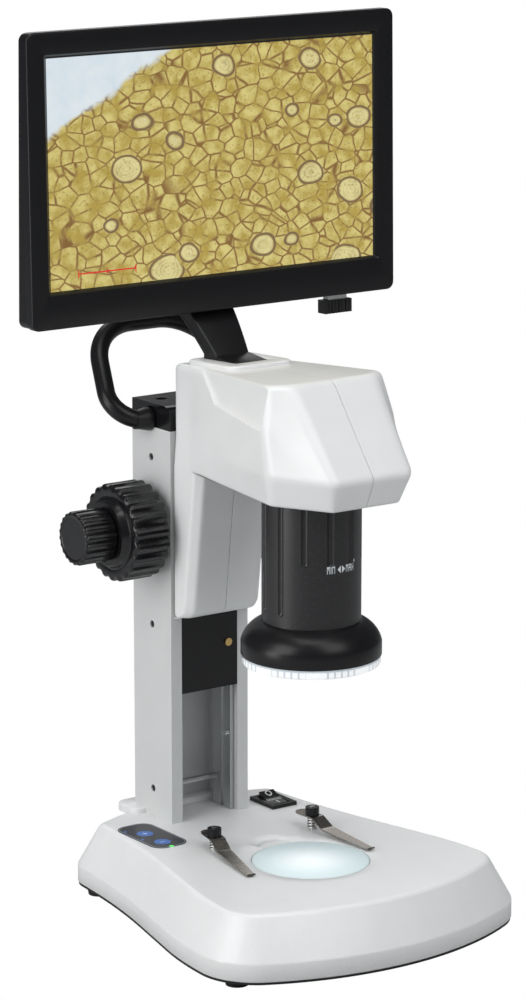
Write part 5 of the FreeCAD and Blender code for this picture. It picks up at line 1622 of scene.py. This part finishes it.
@dataclass
class Knob:
    """A pair of gripped knobs on the focusing axis.

    Attributes:
        radius: Outer radius.
        grips: Number of grip hollows round the rim.
        grip_radius: Radius of a hollow.
        grip_depth: How deep a hollow cuts in.
        stations: (x, radius, share of the hollows) along the left knob's mirror image.
        steps: Points along one grip's pitch.
    """

    radius: float
    grips: int
    grip_radius: float
    grip_depth: float
    stations: tuple[tuple[float, float, float], ...]
    steps: int

    def rim(self) -> tuple[np.ndarray, np.ndarray]:
        """Angles and how far the grips cut in at each.

        Returns:
            The angles, and the depth of a circular hollow at each, slightly softened.
        """
        angles = circle(self.grips * self.steps)
        pitch = FULL_TURN / self.grips
        off = (angles + pitch / 2) % pitch - pitch / 2
        away = self.radius + self.grip_radius - self.grip_depth
        inside = np.maximum(self.grip_radius**2 - (away * np.sin(off)) ** 2, 0.0)
        cut = np.where(inside > 0, self.radius - (away * np.cos(off) - np.sqrt(inside)), 0.0).clip(0.0)
        return angles, 0.7 * cut + 0.15 * (np.roll(cut, 1) + np.roll(cut, -1))

    def skin(self) -> Skin:
        """Both knobs, mirrored.

        Returns:
            The skin: at each station a circle less that share of the hollows.
        """
        angles, cut = self.rim()
        rows = []
        for x, radius, share in self.stations:
            reach = radius - cut * share
            rows.append(np.column_stack([np.full_like(angles, x), SHAFT[0] + reach * np.cos(angles),
                                         SHAFT[1] + reach * np.sin(angles)]))
        rows = np.array(rows)
        return Skin().grid(rows).grid(rows * (-1.0, 1.0, 1.0))


COARSE = Knob(25.5, 22, 4.2, 1.2, (
    (29.0, 0.0, 0.0), (29.0, 20.0, 0.0), (29.0, 24.3, 1.0), (29.35, 25.1, 1.0), (30.2, 25.5, 1.0),
    (47.9, 25.5, 1.0), (48.9, 25.25, 1.0), (49.6, 24.6, 1.0), (49.95, 23.7, 0.9), (50.0, 22.2, 0.4),
    (49.9, 20.4, 0.0), (49.6, 19.2, 0.0), (49.9, 18.3, 0.0), (50.4, 18.0, 0.0), (53.1, 16.8, 0.0),
    (53.45, 16.5, 0.0), (53.5, 16.1, 0.0), (53.5, 0.0, 0.0)), 18)
FINE = Knob(14.0, 22, 2.6, 0.75, (
    (54.0, 0.0, 0.0), (54.0, 13.2, 0.6), (54.3, 13.8, 1.0), (54.8, 14.0, 1.0), (71.2, 14.0, 1.0),
    (71.9, 13.8, 1.0), (72.35, 13.3, 0.8), (72.5, 12.6, 0.3), (72.45, 11.6, 0.0), (72.1, 10.9, 0.0),
    (72.1, 0.0, 0.0)), 14)


@dataclass
class Handle:
    """The carrying bail, leaning back from its pivots.

    Attributes:
        tube: Radius of the bar.
        lean: Degrees it leans back.
        segments: Points round the bar and the hubs.
        right_route: (x, distance from the pivot, bend radius) of the centre line's right half.
        hub: (x, radius) of the round hub at each end.
    """

    tube: float = 4.7
    lean: float = 44.4
    segments: int = 40
    right_route: tuple[tuple[float, float, float], ...] = (
        (31.3, 59.2, 30.0), (47.1, 0.0, 15.0), (24.7, 0.0, 0.0))
    hub: tuple[tuple[float, float], ...] = ((24.6, 0.0), (24.6, 6.0), (24.8, 6.3), (25.2, 6.4), (27.5, 5.9),
                                            (30.5, 5.2), (33.6, 4.66), (33.6, 0.0))

    def skin(self) -> Skin:
        """Bent tube with a round hub at each end.

        Returns:
            The skin: a circle carried along the route, upright to it.
        """
        left_route = [(-x, z, radius) for x, z, radius in reversed(self.right_route)]
        route = rounded([*left_route, *self.right_route], 20, closed=False)
        ahead = np.gradient(route, axis=0)
        ahead /= np.hypot(ahead[:, 0], ahead[:, 1])[:, None]
        across = np.column_stack([-ahead[:, 1], ahead[:, 0]])
        angles = circle(self.segments)
        out, back = self.tube * np.cos(angles), self.tube * np.sin(angles)
        rows = np.array([np.column_stack([spot[0] + out * side[0], back, spot[1] + out * side[1]])
                         for spot, side in zip(route, across)])
        skin = Skin().grid(self.placed(rows))
        skin.sheet(self.placed(rows[0]))
        skin.sheet(self.placed(rows[-1]))
        round_x = np.ones_like(angles)
        hub = np.array([np.column_stack([x * round_x, radius * np.sin(angles), radius * np.cos(angles)])
                        for x, radius in self.hub])
        return skin.grid(self.placed(hub)).grid(self.placed(hub * (-1.0, 1.0, 1.0)))

    def placed(self, points: np.ndarray) -> np.ndarray:
        """Leans points of the bail's own plane back and puts them at the pivot.

        Args:
            points: Points with the pivots' line as x and the bail's plane as x and z.

        Returns:
            The points turned about x and moved to the pivot.
        """
        a = math.radians(self.lean)
        y = points[..., 1] * math.cos(a) + points[..., 2] * math.sin(a)
        z = -points[..., 1] * math.sin(a) + points[..., 2] * math.cos(a)
        return np.stack([points[..., 0], y + HANDLE_PIVOT[0], z + HANDLE_PIVOT[1]], axis=-1)

    def build(self, scene: Scene) -> None:
        """Adds the bail."""
        scene.dress(self.skin(), "carry_handle", Body.HANDLE, ("black_satin",))


@dataclass
class Monitor:
    """The bezel of the leaning display.

    Attributes:
        half: Half width.
        low: Height of the lower edge before it leans.
        high: Height of the upper edge.
        front: y of the face.
        back: y of the bezel's back.
        view: Half width and half height of the display.
        lean: Degrees it leans back about the hinge.
        mouth: (growth in x, growth in z, corner radius, depth) of the mouth's steps, outermost first.
    """

    half: float = 111.75
    low: float = 308.3
    high: float = 455.1
    front: float = 44.5
    back: float = 50.1
    view: tuple[float, float] = (99.5, 57.5)
    lean: float = 1.0
    mouth: tuple[tuple[float, float, float, float], ...] = (
        (2.9, 2.2, 1.2, 0.0), (2.45, 1.75, 1.0, 0.15), (0.6, 0.6, 0.5, 1.7), (0.45, 0.45, 0.4, 2.15))

    def window(self, grow_x: float, grow_z: float, radius: float) -> np.ndarray:
        """A rounded rectangle round the display."""
        wide, high = self.view[0] + grow_x, self.view[1] + grow_z
        return rectangle(-wide, wide, SCREEN_Z - high, SCREEN_Z + high, radius)

    def bezel(self) -> Skin:
        """Frame with softened outer edge and a sloping mouth round the display.

        Returns:
            The skin: rounded rectangles from the back's edge over the face to the mouth and back.
        """
        outer = rectangle(-self.half, self.half, self.low, self.high, 4.2)
        spots = [(outer, self.back)]
        for height, amount in soft_ends(self.front, self.back, 0.9, 0.0)[4::-1]:
            spots.append((inset(outer, amount), height))
        for grow_x, grow_z, radius, depth in self.mouth:
            spots.append((self.window(grow_x, grow_z, radius), self.front + depth))
        wall = inset(outer, 1.6)
        spots += [(wall, self.front + self.mouth[-1][3]), (wall, self.back)]
        rows = [np.column_stack([ring[:, 0], np.full(len(ring), y), ring[:, 1]]) for ring, y in spots]
        return Skin().grid(self.leaned(np.array(rows)), turn=True)

    def leaned(self, points: np.ndarray) -> np.ndarray:
        """Turns points back about the hinge.

        Args:
            points: Upright points.

        Returns:
            The points turned about the hinge.
        """
        a = math.radians(self.lean)
        y, z = points[..., 1] - HINGE[0], points[..., 2] - HINGE[1]
        return np.stack([points[..., 0], HINGE[0] + y * math.cos(a) + z * math.sin(a),
                         HINGE[1] - y * math.sin(a) + z * math.cos(a)], axis=-1)

    def build(self, scene: Scene) -> None:
        """Adds the bezel."""
        scene.dress(self.bezel(), "front_bezel", Body.MONITOR, ("black_satin",))


# The nodes that stay, by finish
KEPT: dict[str, tuple[str, ...]] = {
    "rubber": ("rubber_feet",),
    "black_matt": ("bottom_plate", "power_jack", "handle_screws", "lens_cell"),
    "black_satin": ("switch_frame", "clip_knob_left", "clip_knob_right", "slide_plate", "rear_shell"),
    "black_gloss": ("column_screws", "column_cap"),
    "bright_steel": ("base_screws", "clip_springs", "clip_studs", "stop_pin", "pinion_shaft", "fine_shaft",
                     "head_screws", "hinge_pin", "usb_socket", "monitor_screws", "usb_plug"),
    "clip_steel": ("clip_left", "clip_right"),
    "column_coat": ("column_profile",),
    "drawn_alloy": ("guide_rails", "tie_rods", "slide_block", "head_frame"),
    "brass": ("shaft_bushes", "gear_rack", "slide_screw"),
    "circuit_board": ("light_board", "control_board", "led_ring_board", "sensor_board", "monitor_board"),
    "lamp_white": ("stage_leds", "ring_leds"),
    "lamp_red": ("power_led",),
    "touch_film": ("touch_panel",),
    "rocker_black": ("switch_rocker",),
    "barrel_black": ("camera_barrel",),
    "lens_coated": ("objective_lens",),
    "zoom_black": ("zoom_ring",),
    "screen_image": ("lcd_panel",),
    "ribbed_black": ("usb_cap",),
}


def finish_kept(scene: Scene) -> None:
    """Gives every node that stays its procedural finish.

    Args:
        scene: The frame and the materials.
    """
    for finish, names in KEPT.items():
        material = scene.materials[finish]
        for piece in (scene.nodes[name] for name in names):
            if not piece.material_slots:
                piece.data.materials.append(material)
            for slot in piece.material_slots:
                slot.material = material


# Camera, lamps and background


def aim(thing: bpy.types.Object, centre: np.ndarray, azimuth: float, elevation: float,
        distance: float) -> None:
    """Places an object on a sphere round a point, looking at the point.

    Args:
        thing: The camera or lamp.
        centre: The point in metres.
        azimuth: Degrees from the front, positive to the right.
        elevation: Degrees above the horizon.
        distance: Metres.
    """
    a, e = math.radians(azimuth), math.radians(elevation)
    away = np.array([math.sin(a) * math.cos(e), -math.cos(a) * math.cos(e), math.sin(e)])
    thing.location = centre + away * distance
    thing.rotation_euler = (math.pi / 2 - e, 0.0, a)


@dataclass(frozen=True)
class View:
    """The camera of the photograph's viewing angle; lengths in millimetres, angles in degrees."""

    target: tuple[float, float, float] = (4.9, 13.02, 214.67)
    azimuth: float = -35.5
    elevation: float = 12.88
    distance: float = 1931.4
    lens: float = 136.79
    sensor: float = 36.0

    def build(self) -> None:
        """Adds the camera and makes it the scene's."""
        lens = bpy.data.cameras.new("view")
        lens.lens = self.lens
        lens.sensor_width = self.sensor
        thing = bpy.data.objects.new("view", lens)
        bpy.context.scene.collection.objects.link(thing)
        aim(thing, np.array(self.target) * MM, self.azimuth, self.elevation, self.distance * MM)
        bpy.context.scene.camera = thing


@dataclass(frozen=True)
class Lamp:
    """A soft square lamp aimed at the object; angles in degrees, size and distance in metres."""

    name: str
    azimuth: float
    elevation: float
    size: float
    power: float
    distance: float = 1.6

    def build(self, centre: np.ndarray) -> None:
        """Adds the lamp.

        Args:
            centre: The point it looks at, in metres.
        """
        light = bpy.data.lights.new(self.name, "AREA")
        light.energy = self.power
        light.size = self.size
        lamp = bpy.data.objects.new(self.name, light)
        bpy.context.scene.collection.objects.link(lamp)
        aim(lamp, centre, self.azimuth, self.elevation, self.distance)


LAMPS = (
    Lamp("key", -85.0, 28.0, 0.9, 8.5),
    Lamp("strip", -98.0, 1.0, 0.5, 3.6, 1.3),
    Lamp("fill", 8.0, 40.0, 0.9, 6.0),
    Lamp("top", -30.0, 78.0, 1.0, 8.5),
    Lamp("rim", 150.0, 35.0, 0.9, 4.0),
)
LAMP_TARGET = (0.0, 0.0, 0.22)


@dataclass(frozen=True)
class Surroundings:
    """White seen by the camera, a softer grey for light and reflections.

    Attributes:
        tint: Colour of the world's light.
        strength: Its strength on the object.
        reflected: Its strength in reflections.
        floor_half: Half the floor's side in metres.
        floor_colour: Colour that the floor throws back on the object.
    """

    tint: Colour = rgb(0.93, 0.96, 1.0)
    strength: float = 0.44
    reflected: float = 0.10
    floor_half: float = 3.0
    floor_colour: Colour = rgb(0.45, 0.45, 0.45)

    def split(self, tree: bpy.types.NodeTree, lighting: bpy.types.NodeSocket, shown: bpy.types.NodeSocket,
              surface: bpy.types.NodeSocket) -> None:
        """Shows one shader to the camera and another to all other rays.

        Args:
            tree: The nodes of the world or material.
            lighting: The shader for all other rays.
            shown: The shader for the camera.
            surface: Where the mix goes.
        """
        rays = tree.nodes.new("ShaderNodeLightPath")
        mix = tree.nodes.new("ShaderNodeMixShader")
        for source, socket in zip((rays.outputs["Is Camera Ray"], lighting, shown), mix.inputs):
            tree.links.new(source, socket)
        tree.links.new(mix.outputs[0], surface)

    def world(self) -> None:
        """Adds the world's light."""
        world = bpy.data.worlds.new("surroundings")
        bpy.context.scene.world = world
        world.use_nodes = True
        tree = world.node_tree
        back = tree.nodes["Background"]
        back.inputs["Color"].default_value = self.tint
        rays = tree.nodes.new("ShaderNodeLightPath")
        dim = tree.nodes.new("ShaderNodeMath")
        dim.operation = "MULTIPLY_ADD"
        dim.inputs[1].default_value = self.reflected - self.strength
        dim.inputs[2].default_value = self.strength
        tree.links.new(rays.outputs["Is Glossy Ray"], dim.inputs[0])
        tree.links.new(dim.outputs[0], back.inputs["Strength"])
        white = tree.nodes.new("ShaderNodeBackground")
        white.inputs["Color"].default_value = rgb(1.0, 1.0, 1.0)
        white.inputs["Strength"].default_value = 1.0
        self.split(tree, back.outputs[0], white.outputs[0], tree.nodes["World Output"].inputs["Surface"])

    def floor(self) -> None:
        """Adds the floor."""
        material = bpy.data.materials.new("floor_white")
        material.use_nodes = True
        tree = material.node_tree
        plain = tree.nodes["Principled BSDF"]
        plain.inputs["Base Color"].default_value = self.floor_colour
        plain.inputs["Roughness"].default_value = 0.9
        glow = tree.nodes.new("ShaderNodeEmission")
        self.split(tree, plain.outputs[0], glow.outputs[0], tree.nodes["Material Output"].inputs["Surface"])
        half = self.floor_half
        mesh = bpy.data.meshes.new("floor")
        mesh.from_pydata([(-half, -half, 0), (half, -half, 0), (half, half, 0), (-half, half, 0)], [],
                         [(0, 1, 2, 3)])
        mesh.materials.append(material)
        floor = bpy.data.objects.new("floor", mesh)
        bpy.context.scene.collection.objects.link(floor)

    def build(self) -> None:
        """Adds the world and the floor."""
        self.world()
        self.floor()


def main() -> None:
    """Builds the looks over the frame."""
    logging.basicConfig(level=logging.INFO, format="%(message)s")
    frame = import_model()
    scene = Scene(frame["nodes"], all_materials())
    Base().build(scene)
    Head().build(scene)
    Optics().build(scene)
    scene.dress(COARSE.skin(), "coarse_knobs", Body.COARSE, ("knob_black",), 24.0)
    scene.dress(FINE.skin(), "fine_knobs", Body.FINE, ("knob_black",), 24.0)
    Handle().build(scene)
    Monitor().build(scene)
    finish_kept(scene)
    View().build()
    Surroundings().build()
    for lamp in LAMPS:
        lamp.build(np.array(LAMP_TARGET))
    bpy.context.scene.view_settings.view_transform = "Standard"


if __name__ == "__main__":
    main()
